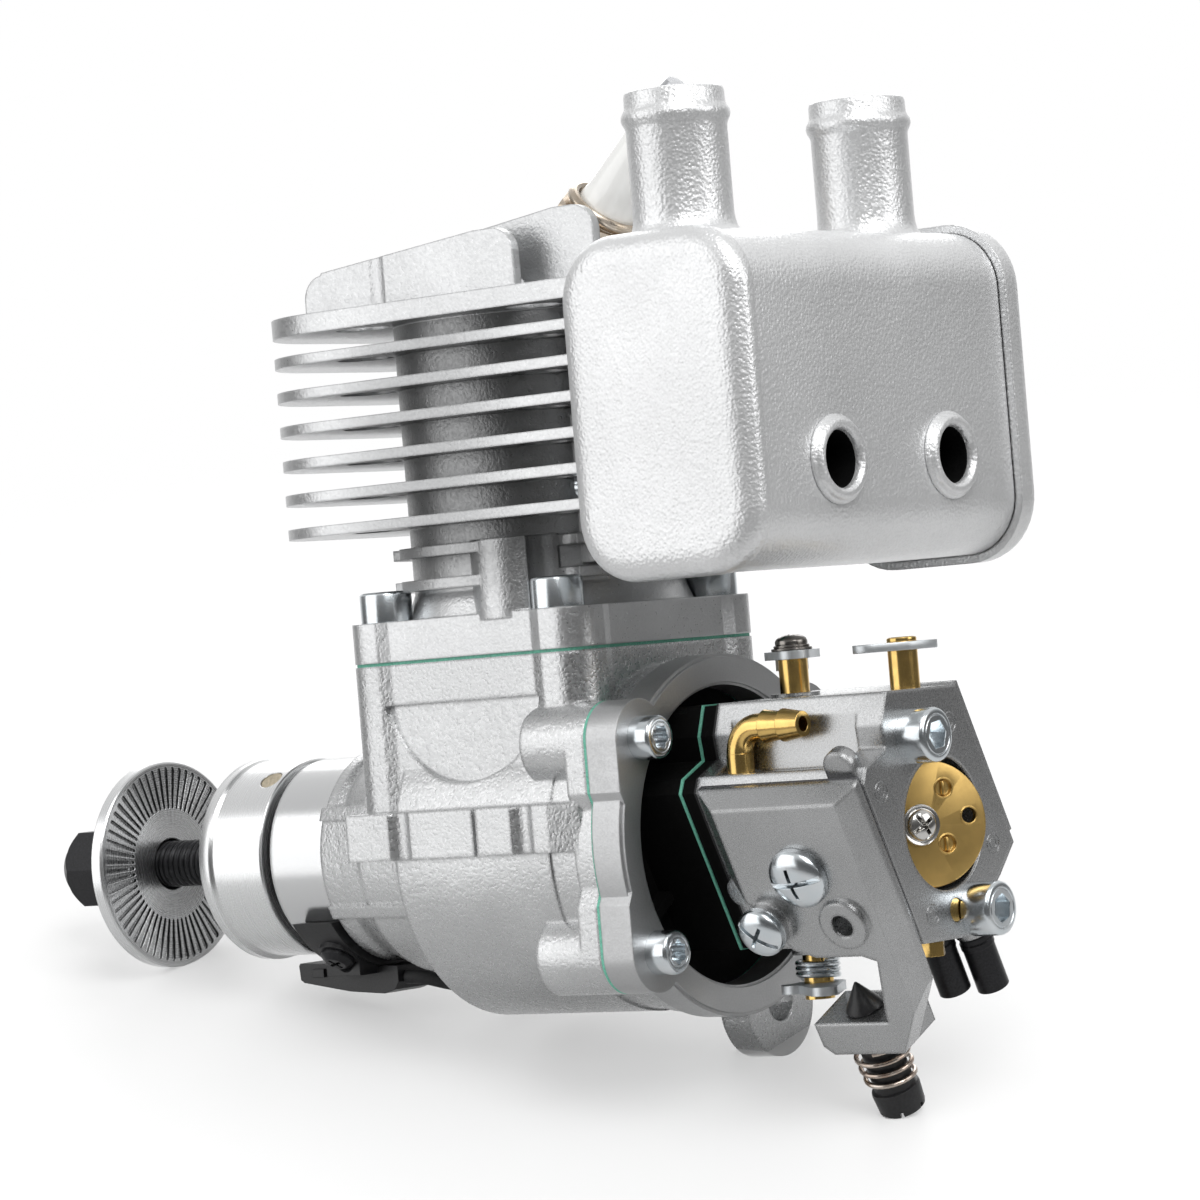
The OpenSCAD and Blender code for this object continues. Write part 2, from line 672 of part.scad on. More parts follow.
module plug_shell() {
    color("tan") along_plug() {
        difference() {
            union() {
                translate([0, 0, 1.2]) cylinder(h = plug_seat - 0.2, r = 5);
                translate([0, 0, plug_seat + 1.3]) cylinder(h = 6.5, r = 14 / sqrt(3), $fn = 6);
                translate([0, 0, plug_seat + 0.9]) cylinder(h = 0.5, r = 6.6);
                translate([0, 0, plug_seat + 7.7]) cylinder(h = 1.2, r1 = 6.2, r2 = 6.9);
                translate([0, 0, plug_seat + 8.9]) cylinder(h = 1.1, r1 = 6.9, r2 = 6);
            }
            translate([0, 0, -1]) cylinder(h = plug_seat + 14, r = 3.4);
            translate([0, 0, plug_seat + 7.6]) cylinder(h = 5, r = 5.3);
        }
        // crushed washer under the seat
        translate([0, 0, plug_seat]) difference() {
            cylinder(h = 0.9, r = 7.2);
            translate([0, 0, -1]) cylinder(h = 3, r = 5 + fit_gap);
        }
    }
}

module plug_insulator() {
    color("white") along_plug() difference() {
        union() {
            translate([0, 0, 2]) cylinder(h = plug_seat + 6, r = 3.3);
            translate([0, 0, plug_seat + 7.7]) cylinder(h = 2.6, r = 5.1);
            translate([0, 0, plug_seat + 10.3]) cylinder(h = 17, r1 = 5.1, r2 = 3.1);
        }
        translate([0, 0, -1]) cylinder(h = through, r = 1.2);
    }
}

module plug_electrode() {
    color("gainsboro") along_plug() {
        translate([0, 0, 0.6]) cylinder(h = plug_seat + 27, r = 1.1);
        translate([0, 0, plug_seat + 27.4]) cylinder(h = 2.2, r = 2.6);
        translate([0, 0, plug_seat + 29.6]) cylinder(h = 1.6, r = 1.9);
        translate([0, 0, plug_seat + 31.2]) cylinder(h = 2.4, r1 = 2.6, r2 = 2);
    }
}

module exhaust_gasket() {
    color("mediumseagreen") xslab(muffler_x1, port_flange_x) difference() {
        translate([0, port_z - 13]) round_rect(-muffler_screw_dy / 2 - 6.6, muffler_screw_dy / 2 + 6.6, 0, 26, 5.6);
        translate([-8, port_z - 6]) square([16, 12]);
        for (y = [-1, 1]) translate([y * muffler_screw_dy / 2, port_z]) circle(m5[0] + fit_gap);
    }
}

// box of the muffler between two planes across the engine, inset all round
module muffler_block(y0, y1, inset = 0) {
    translate([0, y1, 0]) rotate([90, 0, 0]) linear_extrude(y1 - y0)
        round_rect(muffler_x0 + inset, muffler_x1 - inset, muffler_z0 + inset, muffler_z1 - inset, muffler_r - inset);
}

module muffler_shell() {
    color("silver") difference() {
        union() {
            muffler_block(lid_y, muffler_y / 2 - 3.5);
            // pressed round edge of the closed end
            hull() {
                muffler_block(muffler_y / 2 - 3.6, muffler_y / 2 - 3.5, $fn = 32);
                muffler_block(muffler_y / 2 - 2, muffler_y / 2 - 1.9, 0.4, $fn = 32);
                muffler_block(muffler_y / 2 - 0.9, muffler_y / 2 - 0.8, 1.3, $fn = 32);
                muffler_block(muffler_y / 2 - 0.1, muffler_y / 2, 3.2, $fn = 32);
            }
        }
        muffler_block(lid_y - 1, muffler_y / 2 - 3.5, muffler_wall);
        for (y = [-1, 1]) {
            translate([0, y * muffler_screw_dy / 2, port_z]) {
                xcyl(access_out_r + run_gap, muffler_x0 - 1, muffler_x0 + 5);
                xcyl(m5[0] + fit_gap, muffler_x1 - 5, muffler_x1 + 1);
            }
            translate([outlet_x, y * outlet_y, muffler_z1 - 5]) cylinder(h = 6, r = outlet_d / 2 + run_gap);
        }
        translate([muffler_x1 - 5, -8, port_z - 6]) cube([6, 16, 12]);
    }
}

module muffler_lid() {
    y0 = -muffler_y / 2;
    color("silver") difference() {
        union() {
            muffler_block(y0 + 2, lid_y - 0.2, -1.4);
            hull() {
                muffler_block(y0 + 2, y0 + 2.1, -1.4, $fn = 32);
                muffler_block(y0 + 0.9, y0 + 1, -0.8, $fn = 32);
                muffler_block(y0, y0 + 0.1, 0.8, $fn = 32);
            }
        }
        muffler_block(y0 + 2.4, lid_y + 1, run_gap);
        muffler_block(y0 + 1.2, lid_y + 1, muffler_wall + 1);
    }
    color("silver") difference() {
        muffler_block(y0 + 2.4, lid_y - 0.2, run_gap);
        muffler_block(y0 + 1, lid_y + 1, muffler_wall);
    }
}

module muffler_tubes() {
    ro = outlet_d / 2;
    color("silver") {
        for (y = [-1, 1]) {
            translate([outlet_x, y * outlet_y, 0]) rotate_extrude() polygon([
                [ro - 1, muffler_z1 - 3], [ro, muffler_z1 - 3], [ro, muffler_z1 + run_gap],
                [ro + 1, muffler_z1 + run_gap], [ro, muffler_z1 + 1.6], [ro, outlet_top - 5.6], [ro + 0.55, outlet_top - 4.6],
                [ro + 0.55, outlet_top - 3.9], [ro, outlet_top - 2.9], [ro, outlet_top - 0.4],
                [ro - 0.4, outlet_top], [ro - 1, outlet_top]]);
            translate([0, y * muffler_screw_dy / 2, port_z]) difference() {
                union() {
                    xcyl(access_out_r, muffler_x0 - 1.6, muffler_x1 - muffler_wall);
                    xcyl(access_out_r + 1, muffler_x0 - 0.7, muffler_x0);
                }
                xcyl(access_r, muffler_x0 - 3, muffler_x1);
            }
        }
    }
}

module muffler_screws() {
    color("lightgray") for (y = [-1, 1]) translate([muffler_x1 - muffler_wall, y * muffler_screw_dy / 2, port_z])
        rotate([0, -90, 0]) socket_screw(m5, muffler_wall + gasket_t + 5.5);
}

// y of the carburettor's leaning side faces at height z
function side_y(side, z) = (side * carb_side + z * sin(carb_lean)) / cos(carb_lean);

// cross-section of the carburettor, shared by its gaskets and spacer
module carb_outline(inset = 0) {
    i = inset;
    polygon([
        [side_y(-1, carb_top) + i, carb_top - i], [12.6 - i, carb_top - i], [14.4 - i, carb_top - 5],
        [13.8 - i, 12.6 - i], [19.4 - i, 10 - i], [side_y(1, 7.6) - i, 7.6], [side_y(1, carb_bottom) - i, carb_bottom + i],
        [-4.6 + i, carb_bottom + i], [-14.4 + i, -9.2], [side_y(-1, -4.4) + i, -4.4]
    ]);
}

module intake_block() {
    color("#1c1c1e") difference() {
        union() {
            xcyl(chamber_r + 0.8, case_x0, case_x0 + flange_pocket - 0.3);
            xslab(tower_x, case_x0 + 1) intersection() {
                carb_outline(0.2);
                circle(cover_open_r - 0.3);
            }
            xslab(tower_x, tower_x + 3) carb_outline(0.2);
            // reed seat on the chamber side
            xslab(case_x0 + 2, case_x0 + 8) round_rect(-11, 11, -11, 11, 3);
            // stiffening webs of the flange
            for (a = [35, 145, 215, 325]) rotate([a, 0, 0]) translate([case_x0 - 2.4, 0, -0.8]) cube([3, cover_open_r - 0.4, 1.6]);
        }
        xcyl(throttle_bore_d / 2, tower_x - 1, case_x0 + 4);
        for (z = [-1, 1]) translate([case_x0 + 3, -8, z * 4.8 - 3.4]) cube([6, 16, 6.8]);
        lean() for (v = [-1, 1]) translate([0, 0, v * bolt_v]) xcyl(m5[0] + fit_gap, tower_x - 1, case_x0);
    }
}

module reed_petals() {
    color("goldenrod") for (z = [-1, 1]) translate([case_x0 + 8, -9.2, z * 5.1 - 4.4]) cube([0.3, 18.4, 8.8]);
}

module reed_stop() {
    color("lightgray") difference() {
        union() {
            translate([case_x0 + 8.3, -9.2, -1.6]) cube([1, 18.4, 3.2]);
            for (z = [-1, 1]) rotate([0, 0, 0]) translate([case_x0 + 8.3, -6.5, 0])
                rotate([90, 0, 0]) mirror([0, z < 0 ? 1 : 0, 0]) translate([0, 0, -13]) linear_extrude(13)
                    polygon([[0, 1], [1, 1], [4.4, 9], [3.6, 9.4]]);
        }
        for (y = [-5, 5]) translate([0, y, 0]) xcyl(1.1, case_x0 + 8, case_x0 + 10);
    }
}

module intake_gaskets() {
    color("mediumseagreen") for (x = [tower_x - gasket_t, carb_x1]) xslab(x, x + gasket_t) difference() {
        carb_outline(0.1);
        circle(throttle_bore_d / 2);
        rotate(-carb_lean) for (v = [-1, 1]) translate([0, v * bolt_v]) circle(m5[0] + fit_gap);
    }
}

module heat_spacer() {
    color("#1c1c1e") xslab(carb_x1 + gasket_t, tower_x - gasket_t) difference() {
        carb_outline(0.3);
        circle(throttle_bore_d / 2);
        rotate(-carb_lean) for (v = [-1, 1]) translate([0, v * bolt_v]) circle(m5[0] + fit_gap);
    }
}

module carb_body() {
    ri = intake_d / 2;
    rt = throttle_bore_d / 2;
    color("darkgray") difference() {
        union() {
            xslab(carb_x0, carb_x1) carb_outline();
            // bosses of the needles and of the throttle shaft
            for (i = [0, 1]) needle_frame(i) translate([0, 0, 0.7]) cylinder(h = 9, r = 2.9);
            translate([throttle_x, 0, 0]) {
                translate([0, 0, carb_top - 1]) cylinder(h = 1.6, r = shaft_r + 1.6);
                translate([0, 0, carb_bottom - 1.4]) cylinder(h = 2, r = shaft_r + 1.6);
            }
        }
        // waist between the rear flange and the front one, above the pump shelf
        translate([carb_x0 + 5, 13.6, 10.2]) cube([carb_len - 8, 12, 14]);
        // intake, venturi and throttle bore
        translate([0, 0, 0]) rotate([0, 90, 0]) rotate_extrude() polygon([
            [0, carb_x0 - 1], [ri, carb_x0 - 1], [ri, carb_x0 + 13], [rt - 1.5, carb_x0 + 17],
            [rt, throttle_x - 5], [rt, carb_x1 + 1], [0, carb_x1 + 1]]);
        translate([throttle_x, 0, -60]) cylinder(h = through, r = shaft_r + run_gap);
        translate([choke_x, choke_y, carb_bottom + 3]) cylinder(h = through, r = shaft_r + run_gap);
        lean() for (v = [-1, 1]) translate([0, 0, v * bolt_v]) xcyl(m5[0] + fit_gap, carb_x0 - 1, carb_x1 + 1);
        // seats of the needles, the fuel elbow and the brass bushes
        for (i = [0, 1]) needle_frame(i) translate([0, 0, -1]) cylinder(h = needle_stem + 1.6 * i + 1.1, r = 1.6 + run_gap);
        translate([elbow_x, elbow_y, elbow_z - 0.2]) cylinder(h = 12, r = 2.2);
        lean() translate([carb_x0 - 1, 4.4, -13]) rotate([0, 90, 0]) cylinder(h = 4, r = 1.9);
    }
}

// outline of the pump cover along the bore (x) and the lean (v)
module pump_panel() {
    polygon([
        [carb_x1 - 2.2, 17.4], [carb_x1 - 2.6, 2.6], [carb_x1 - 8, -2], [carb_x1 - 12, -9.5], [carb_x1 - 16, -11],
        [carb_x1 - 24.5, -11], [carb_x1 - 27, -12], [carb_x1 - 24.8, -21.5], [carb_x1 - 24.6, -24],
        [carb_x1 - 24.6, -28.6], [carb_x0 + 6.4, -28.6], [carb_x0 - 0.4, -18], [carb_x0 - 0.9, -7], [carb_x0 - 0.6, 17.4]
    ]);
}

// extrudes an outline drawn in x and v between two heights off the pump face
module pump_slab(h0, h1) {
    lean() translate([0, h1, 0]) rotate([90, 0, 0]) linear_extrude(h1 - h0) children();
}

module pump_cover() {
    color("darkgray") difference() {
        union() {
            difference() {
                pump_slab(pump_h0, pump_h1) pump_panel();
                // sloped top, front and rear edges of the face
                lean() xslab(carb_x0 - 3, carb_x1) polygon([[pump_h0 + 0.8, 18.2], [pump_h0 + 0.8, 17.4],
                    [pump_h1, 15.6], [pump_h1 + 1, 15.2], [pump_h1 + 1, 18.2]]);
                lean() translate([0, 0, -4]) linear_extrude(40) polygon([[carb_x1, pump_h0 + 0.8],
                    [carb_x1 - 2.2, pump_h0 + 0.8], [carb_x1 - 6.6, pump_h1], [carb_x1 - 7.6, pump_h1 + 1], [carb_x1, pump_h1 + 1]]);
                lean() translate([0, 0, -40]) linear_extrude(70) polygon([[carb_x0 - 1.2, pump_h0 + 0.8],
                    [carb_x0 + 1.9, pump_h1], [carb_x0 + 2.6, pump_h1 + 1], [carb_x0 - 3, pump_h1 + 1]]);
            }
            // bracket that carries the idle screw, below the open window
            pump_slab(idle_h - 5.5, pump_h1) polygon([[idle_x + 7.2, bracket_v1], [idle_x + 7, bracket_v0 + 1.5],
                [idle_x + 5.4, bracket_v0], [carb_x0 + 6.4, bracket_v0], [carb_x0 + 6.4, bracket_v1]]);
            // lobe, screw post and ring boss
            pump_slab(pump_h0, pump_h0 + 1.8) {
                translate([carb_x1 - 4.2, -0.4]) circle(2.7);
                translate([carb_x1 - 12, -8.6]) square([9, 9]);
            }
            pump_slab(pump_h0, post_h) translate(post_at) circle(3.6);
            pump_slab(pump_h0, ring_h) translate(ring_at) circle(4.1);
        }
        // pockets and holes
        pump_slab(pump_h0 + 0.8, pump_h1 + 5) translate(ring_at) circle(1.9);
        for (p = [post_at, cover_screw_at]) pump_slab(pump_h0 - 1, pump_h1 + 5) translate(p) circle(m4[0] + fit_gap);
        lean() translate([idle_x, idle_h, -40]) cylinder(h = 25, r = idle_r + run_gap);
    }
}

module pump_gasket() {
    color("dimgray") pump_slab(carb_side, pump_h0) difference() {
        polygon([[carb_x1 - 1.6, 17], [carb_x1 - 2, 3], [carb_x1 - 8, -2], [carb_x1 - 13, -10.6], [carb_x0 + 1.5, -10.6],
            [carb_x0 + 0.1, -7], [carb_x0 + 0.4, 17]]);
        for (p = [post_at, cover_screw_at]) translate(p) circle(m4[0] + fit_gap);
    }
}

// places a screw on the pump side, head outwards
module on_pump(at, h) { lean() translate([at[0], h, at[1]]) rotate([-90, 0, 0]) children(); }

module carb_cover_screws() {
    color("lightgray") {
        on_pump(cover_screw_at, pump_h1) pan_screw(m4[0], 5, 3, pump_h1 - carb_side - 0.2);
        on_pump(post_at, post_h) pan_screw(m4[0], 4, 2.8, post_h - carb_side - 0.2);
        lean() for (x = [carb_x0 + 5.5, carb_x1 - 5.5], v = [-8.6, 12.4])
            translate([x, -carb_side - 3.2, v]) rotate([90, 0, 0]) pan_screw(m3[0], 2.7, 2, 3);
    }
}

module brass_fittings() {
    color("goldenrod") {
        // elbow: post, bend and the barb that points to the rear
        translate([elbow_x, elbow_y, 2.2]) difference() {
            union() {
                translate([0, 0, elbow_z - 2.2]) cylinder(h = 13.2 - elbow_z, r = 2.15);
                translate([-4, 0, 11]) rotate([90, 0, 0]) intersection() {
                    rotate_extrude() translate([4, 0]) circle(2.1);
                    translate([0, 0, -3]) cube([7, 7, 6]);
                }
                translate([-4, 0, 15]) rotate([0, -90, 0]) {
                    cylinder(h = 1.6, r = 2.1);
                    translate([0, 0, 1.5]) cylinder(h = 3.6, r1 = 2.6, r2 = 2.1);
                    translate([0, 0, 5]) cylinder(h = 3.6, r1 = 2.6, r2 = 2);
                }
            }
            translate([-3, 0, 15]) rotate([0, -90, 0]) cylinder(h = 20, r = 1.2);
        }
        // bush beside the needles and the blind plug below the body
        lean() translate([carb_x0 + 0.2, 4.4, -13]) rotate([0, 90, 0]) cylinder(h = 2, r = 1.8);
        translate([choke_x - 1, 1.8, carb_bottom - 2.4]) cylinder(h = 2.4, r = 2.3, $fn = 6);
    }
}

module metering_cover() {
    color("darkgray") lean() difference() {
        union() {
            translate([carb_x0 + 2, -carb_side - 3.2, -11.6]) cube([carb_len - 4, 3.2, 27]);
            translate([carb_x0 + carb_len / 2, -carb_side - 3.1, 2]) rotate([90, 0, 0]) cylinder(h = 1.6, r1 = 8.5, r2 = 7.5);
        }
        translate([carb_x0 + carb_len / 2, -carb_side, 2]) rotate([90, 0, 0]) cylinder(h = 9, r = 1);
        for (x = [carb_x0 + 5.5, carb_x1 - 5.5], v = [-8.6, 12.4])
            translate([x, -carb_side + 1, v]) rotate([90, 0, 0]) cylinder(h = 9, r = m3[0] + fit_gap);
    }
}

module carb_bolts() {
    color("lightgray") lean() for (v = [-1, 1]) translate([carb_x0, 0, v * bolt_v])
        rotate([0, -90, 0]) socket_screw(m5, carb_len + 10);
}

// flat half of a shaft that carries its plate
module shaft_flat(x, y, r, a) {
    translate([x, y, 0]) rotate(a) translate([0, -3, -r]) cube([6, 6, 2 * r]);
}

module throttle_shaft() {
    color("goldenrod") difference() {
        union() {
            translate([throttle_x, 0, stop_z - 1.2]) cylinder(h = lever_z - stop_z + 1.2, r = shaft_r);
        }
        shaft_flat(throttle_x, 0, throttle_bore_d / 2 - 0.3, -throttle_rest);
        translate([throttle_x, 0, 0]) rotate(-throttle_rest) rotate([0, 90, 0]) cylinder(h = 8, r = 1.1, center = true);
        translate([throttle_x, 0, lever_z - 6]) cylinder(h = 20, r = 1.3);
    }
}

module throttle_plate() {
    color("goldenrod") translate([throttle_x, 0, 0]) rotate(-throttle_rest) difference() {
        rotate([0, 90, 0]) cylinder(h = 0.8, r = throttle_bore_d / 2 - 0.5);
        translate([-1, 0, 0]) rotate([0, 90, 0]) cylinder(h = 4, r = 1.1);
    }
}

// lever plate with a rounded hub and an arm, drawn flat
module lever_outline(hub_r, arm, tip_r) {
    circle(hub_r);
    polygon([[0, hub_r], [arm, tip_r], [arm, -tip_r], [0, -hub_r]]);
    translate([arm, 0]) circle(tip_r);
}

module throttle_lever() {
    color("lightgray") translate([throttle_x, 0, lever_z]) rotate(128) difference() {
        union() {
            linear_extrude(1.3) {
                lever_outline(4.4, 8, 2.6);
                rotate(180) lever_outline(4.4, 3.4, 3);
            }
            // turned down stop ear
            translate([-6.2, -2.6, -1.8]) cube([1.3, 5.2, 3.1]);
        }
        translate([0, 0, -1]) cylinder(h = 4, r = 1.3 + fit_gap);
        translate([8, 0, -1]) cylinder(h = 4, r = 1.1);
        translate([4.9, 0, -1]) cylinder(h = 4, r = 0.8);
    }
}

module throttle_screws() {
    color("dimgray") {
        translate([throttle_x, 0, lever_z + 1.3]) {
            difference() {
                cylinder(h = 0.7, r = 3.5);
                translate([0, 0, -1]) cylinder(h = 4, r = 1.3 + fit_gap);
            }
            translate([0, 0, 0.7]) pan_screw(1.25, 2.9, 2, 6);
        }
        translate([throttle_x, 0, 0]) rotate(-throttle_rest) translate([0.8, 0, 0]) rotate([0, 90, 0])
            pan_screw(1, 1.8, 1.1, 2.2);
    }
}

module stop_lever() {
    color("lightgray") translate([throttle_x, 0, stop_z]) rotate(stop_angle) difference() {
        linear_extrude(1.4) {
            lever_outline(4.2, 11, 2.2);
            rotate(-70) lever_outline(4.2, 4, 2.4);
        }
        translate([0, 0, -1]) cylinder(h = 4, r = shaft_r + run_gap);
    }
}

// points of a coil spring along z
function coil_path(r, z0, z1, turns) = [for (i = [0 : turns * 18])
    [r * cos(20 * i), r * sin(20 * i), z0 + (z1 - z0) * i / (turns * 18)]];

module return_spring() {
    r = shaft_r + 1.1;
    z0 = stop_z + 1.4 + 0.4;
    z1 = carb_bottom - 1.4 - 0.4;
    color("gainsboro") translate([throttle_x, 0, 0]) swept_tube(coil_path(r, z0, z1, 3.5), 0.7, 6);
}

module choke_frame() { translate([choke_x, choke_y, 0]) rotate(-choke_rest) children(); }

module choke_shaft() {
    color("goldenrod") choke_frame() difference() {
        translate([0, 0, carb_bottom + 4]) cylinder(h = lever_z - carb_bottom - 2.6, r = shaft_r);
        translate([-6, -3, -intake_d / 2 + 0.2]) cube([6, 6, intake_d - 0.4]);
        rotate([0, 90, 0]) cylinder(h = 8, r = 1.2, center = true);
    }
}

module choke_plate() {
    color("goldenrod") choke_frame() translate([-1.1, -choke_y, 0]) difference() {
        rotate([0, 90, 0]) cylinder(h = 1.1, r = intake_d / 2 - 0.45);
        translate([-1, -5.6, 0.8]) rotate([0, 90, 0]) cylinder(h = 4, r = 0.95);
        translate([-1, choke_y, 0]) rotate([0, 90, 0]) cylinder(h = 4, r = 1.2);
        // two pressed oval dimples
        for (z = [5.6, -5.6]) translate([-0.6, -1.6, z]) rotate([0, 90, 0]) linear_extrude(0.9) {
            square([2, 1.2], center = true);
            for (d = [-1, 1]) translate([d, 0]) circle(0.6);
        }
    }
}

module choke_screw() {
    color("lightgray") choke_frame() translate([-1.1, 0, 0]) rotate([0, -90, 0]) pan_screw(1.1, 2.9, 1.8, 2.2);
}

module choke_lever() {
    color("lightgray") choke_frame() translate([0, 0, lever_z]) rotate(88) difference() {
        linear_extrude(1.3) {
            lever_outline(3.9, 9.4, 3);
            rotate(180) lever_outline(3.9, 4.4, 2.2);
        }
        translate([0, 0, -1]) cylinder(h = 4, r = shaft_r + run_gap / 2);
        translate([9.4, 0, -1]) cylinder(h = 4, r = 1.2);
    }
}

module idle_screw() {
    color("#1c1c1e") lean() translate([idle_x, idle_h, 0]) difference() {
        union() {
            translate([0, 0, -20.8]) cylinder(h = 4.4, r1 = 3, r2 = 0.6);
            translate([0, 0, idle_cap_v - 1]) cylinder(h = -20 - idle_cap_v, r = idle_r);
            translate([0, 0, idle_cap_v - 5]) cylinder(h = 5, r = 4.2);
        }
        translate([0, 0, idle_cap_v - 6]) cylinder(h = 3, r = 2.3);
        translate([-0.5, -5, idle_cap_v - 5.4]) cube([1, 10, 1.6]);
    }
}

module idle_spring() {
    color("gainsboro") lean() translate([idle_x, idle_h, 0])
        swept_tube(coil_path(3.6, idle_cap_v + 0.4, bracket_v0 - 0.4, 3.5), 0.76, 8);
}

// frame of a mixture needle, z pointing into the body
module needle_frame(i) {
    lean() translate([carb_x0 + 8.2 - 4.6 * i, 1.7 - 3.6 * i, needle_v - 1.6 * i]) children();
}

module mixture_needle(i) {
    needle_frame(i) difference() {
        union() {
            cylinder(h = needle_stem + 1.6 * i, r = 1.6);
            translate([0, 0, -9.2]) cylinder(h = 9.6, r = 2.6);
            translate([0, 0, -1.6]) cylinder(h = 1, r = 2.75);
        }
        translate([0, 0, -10.2]) cylinder(h = 4, r = 1.5);
    }
}

module needle_low() { color("#1c1c1e") mixture_needle(0); }

module needle_high() { color("#1c1c1e") mixture_needle(1); }

module prop_hub() {
    r = hub_d / 2;
    color("silver") difference() {
        union() {
            xcyl(r - 1.4, hub_x0, hub_x0 + 0.8, r - 0.3);
            xcyl(r - 0.3, hub_x0 + 0.8, hub_x1 - 4.4);
            xcyl(r + 0.6, hub_x1 - 4.5, hub_x1 - 0.5);
            xcyl(r + 0.6, hub_x1 - 0.5, hub_x1, r + 0.1);
        }
        xcyl(journal_d / 2 + run_gap / 2, hub_x0 - 1, hub_x0 + 2);
        xcyl(journal_d / 2 + run_gap / 2, hub_x0 + 2 - eps, hub_x1 - 3, journal_d / 2 - 0.8 + run_gap / 2);
        xcyl(prop_bolt_d / 2 + fit_gap, hub_x1 - 4, hub_x1 + 1);
        rotate([magnet_angle, 0, 0]) translate([magnet_x, r - 2.2, 0]) rotate([-90, 0, 0]) cylinder(h = 5, r = 2);
    }
}

module hub_magnet() {
    color("tan") rotate([magnet_angle, 0, 0]) translate([magnet_x, hub_d / 2 - 2.1, 0]) rotate([-90, 0, 0])
        cylinder(h = 1.6, r = 1.95);
}

module prop_washer() {
    r = washer_d / 2;
    color("silver") difference() {
        union() {
            xcyl(r, washer_x0, washer_x1 - 1.2);
            xcyl(r, washer_x1 - 1.2, washer_x1, r - 1.4);
        }
        xcyl(prop_bolt_d / 2 + fit_gap, washer_x0 - 1, washer_x1 + 1);
        // ring of radial grip grooves on the side that meets the propeller
        for (a = [0 : 7.5 : 352.5]) rotate([a, 0, 0]) translate([washer_x0 - 0.4, -0.35, r * 0.5])
            cube([0.8, 0.7, r * 0.4]);
    }
}

module prop_bolt() {
    color("#1c1c1e") difference() {
        union() {
            xcyl(prop_bolt_d / 2 - 0.7, hub_x1 - 15, hub_x1 - 2.5);
            xcyl(prop_bolt_d / 2, hub_x1 - 2.9, washer_x1 + 1);
            xcyl(bolt_flat / 2 + 0.6, washer_x1, washer_x1 + 1.4);
            translate([washer_x1 + 1, 0, 0]) rotate([0, 90, 0]) cylinder(h = 15.4, r = bolt_flat / sqrt(3), $fn = 6);
            xcyl(bolt_flat / 2 - 0.3, washer_x1 + 16.4, washer_x1 + 18.5, 5);
        }
        xcyl(2, washer_x1 + 14, washer_x1 + 19);
    }
}

// places its children on the radial line of the sensor's screw, z pointing outwards
module at_sensor_screw() {
    translate([(holder_x0 + holder_x1) / 2 - 0.6, 0, 0]) rotate([sensor_screw_angle, 0, 0])
        translate([0, 0, nose_r + 2.6]) children();
}

// the holder grips the nose from below and carries the sensor under the hub
module sensor_holder() {
    color("#1c1c1e") difference() {
        union() {
            intersection() {
                xcyl(nose_r + 2.6, holder_x0, holder_x1);
                translate([holder_x0, -22, holder_top - 13]) cube([holder_x1 - holder_x0, 44, 13]);
            }
            at_sensor_screw() translate([0, 0, -1.4]) cylinder(h = 1.9, r = 3.5);
            translate([0, sensor_y, 0]) rotate([90, 0, 0]) linear_extrude(2 * sensor_y) polygon([
                [sensor_x0, sensor_top - 0.9], [sensor_x1 - 0.3, sensor_top], [sensor_x1, sensor_top - 0.4],
                [sensor_x1 - 0.2, sensor_top - 2.8], [sensor_x1 - 0.9, sensor_top - 3.3],
                [nose_x - 5, sensor_top - 5], [nose_x - 12.6, sensor_top - 5.5],
                [nose_x - 15, sensor_top - 4.9], [sensor_x0, sensor_top - 3.6]]);
            // hook and foot between the clip and the sensor
            translate([nose_x + 0.2, sensor_y - 0.4, sensor_top - 2.4]) cube([2.6, 1, 1.4]);
            translate([holder_x0 + 0.6, -sensor_y, sensor_top - 2]) cube([holder_x1 - holder_x0 - 1.2, sensor_y + 9, 3]);
        }
        xcyl(nose_r + fit_gap, nose_seat_x - 5, nose_x + 12);
        xcyl(nose_root_r + fit_gap, nose_seat_x - 12, nose_seat_x + fit_gap);
        xcyl(hub_d / 2 + 0.6, hub_x0 - 0.6, hub_x1);
        at_sensor_screw() translate([0, 0, -3]) cylinder(h = 6, r = 1.25 + fit_gap);
        at_sensor_screw() translate([0, 0, 0.5]) cylinder(h = 4, r = 2.9 + fit_gap);
    }
}

module sensor_screw() {
    color("#1c1c1e") at_sensor_screw() translate([0, 0, 0.5]) pan_screw(1.25, 2.9, 1.5, 2.6);
}

// unit vector and cross product of the lead's frame
function unit(v) = v / norm(v);
function lead_dir(p, i) = unit(p[min(i + 1, len(p) - 1)] - p[max(i - 1, 0)]);

// one ring of points around a path, held level with the ground
function lead_ring(p, i, r, sides) = let (
    d = lead_dir(p, i),
    side = unit(cross(d, [0, 0, 1])),
    up = cross(side, d)
) [for (k = [0 : sides - 1]) p[i] + r * (cos(360 * k / sides) * side + sin(360 * k / sides) * up)];

// closed tube swept along a list of points
module swept_tube(p, d, sides = 8) {
    n = len(p);
    points = [for (i = [0 : n - 1]) each lead_ring(p, i, d / 2, sides)];
    skin = [for (i = [0 : n - 2], k = [0 : sides - 1]) let (a = i * sides, b = a + sides, m = (k + 1) % sides)
        [a + k, a + m, b + m, b + k]];
    first = [[for (k = [0 : sides - 1]) sides - 1 - k]];
    last = [[for (k = [0 : sides - 1]) (n - 1) * sides + k]];
    polyhedron(points, concat(skin, first, last));
}

module sensor_lead() { color("#1c1c1e") swept_tube(lead_path, lead_d); }

module coil_frame() { translate(coil_centre) rotate(floor_tilt) children(); }

module lead_coil() {
    color("#1c1c1e") coil_frame() rotate_extrude() translate([coil_r, 0]) circle(coil_wire_r, $fn = 24);
}

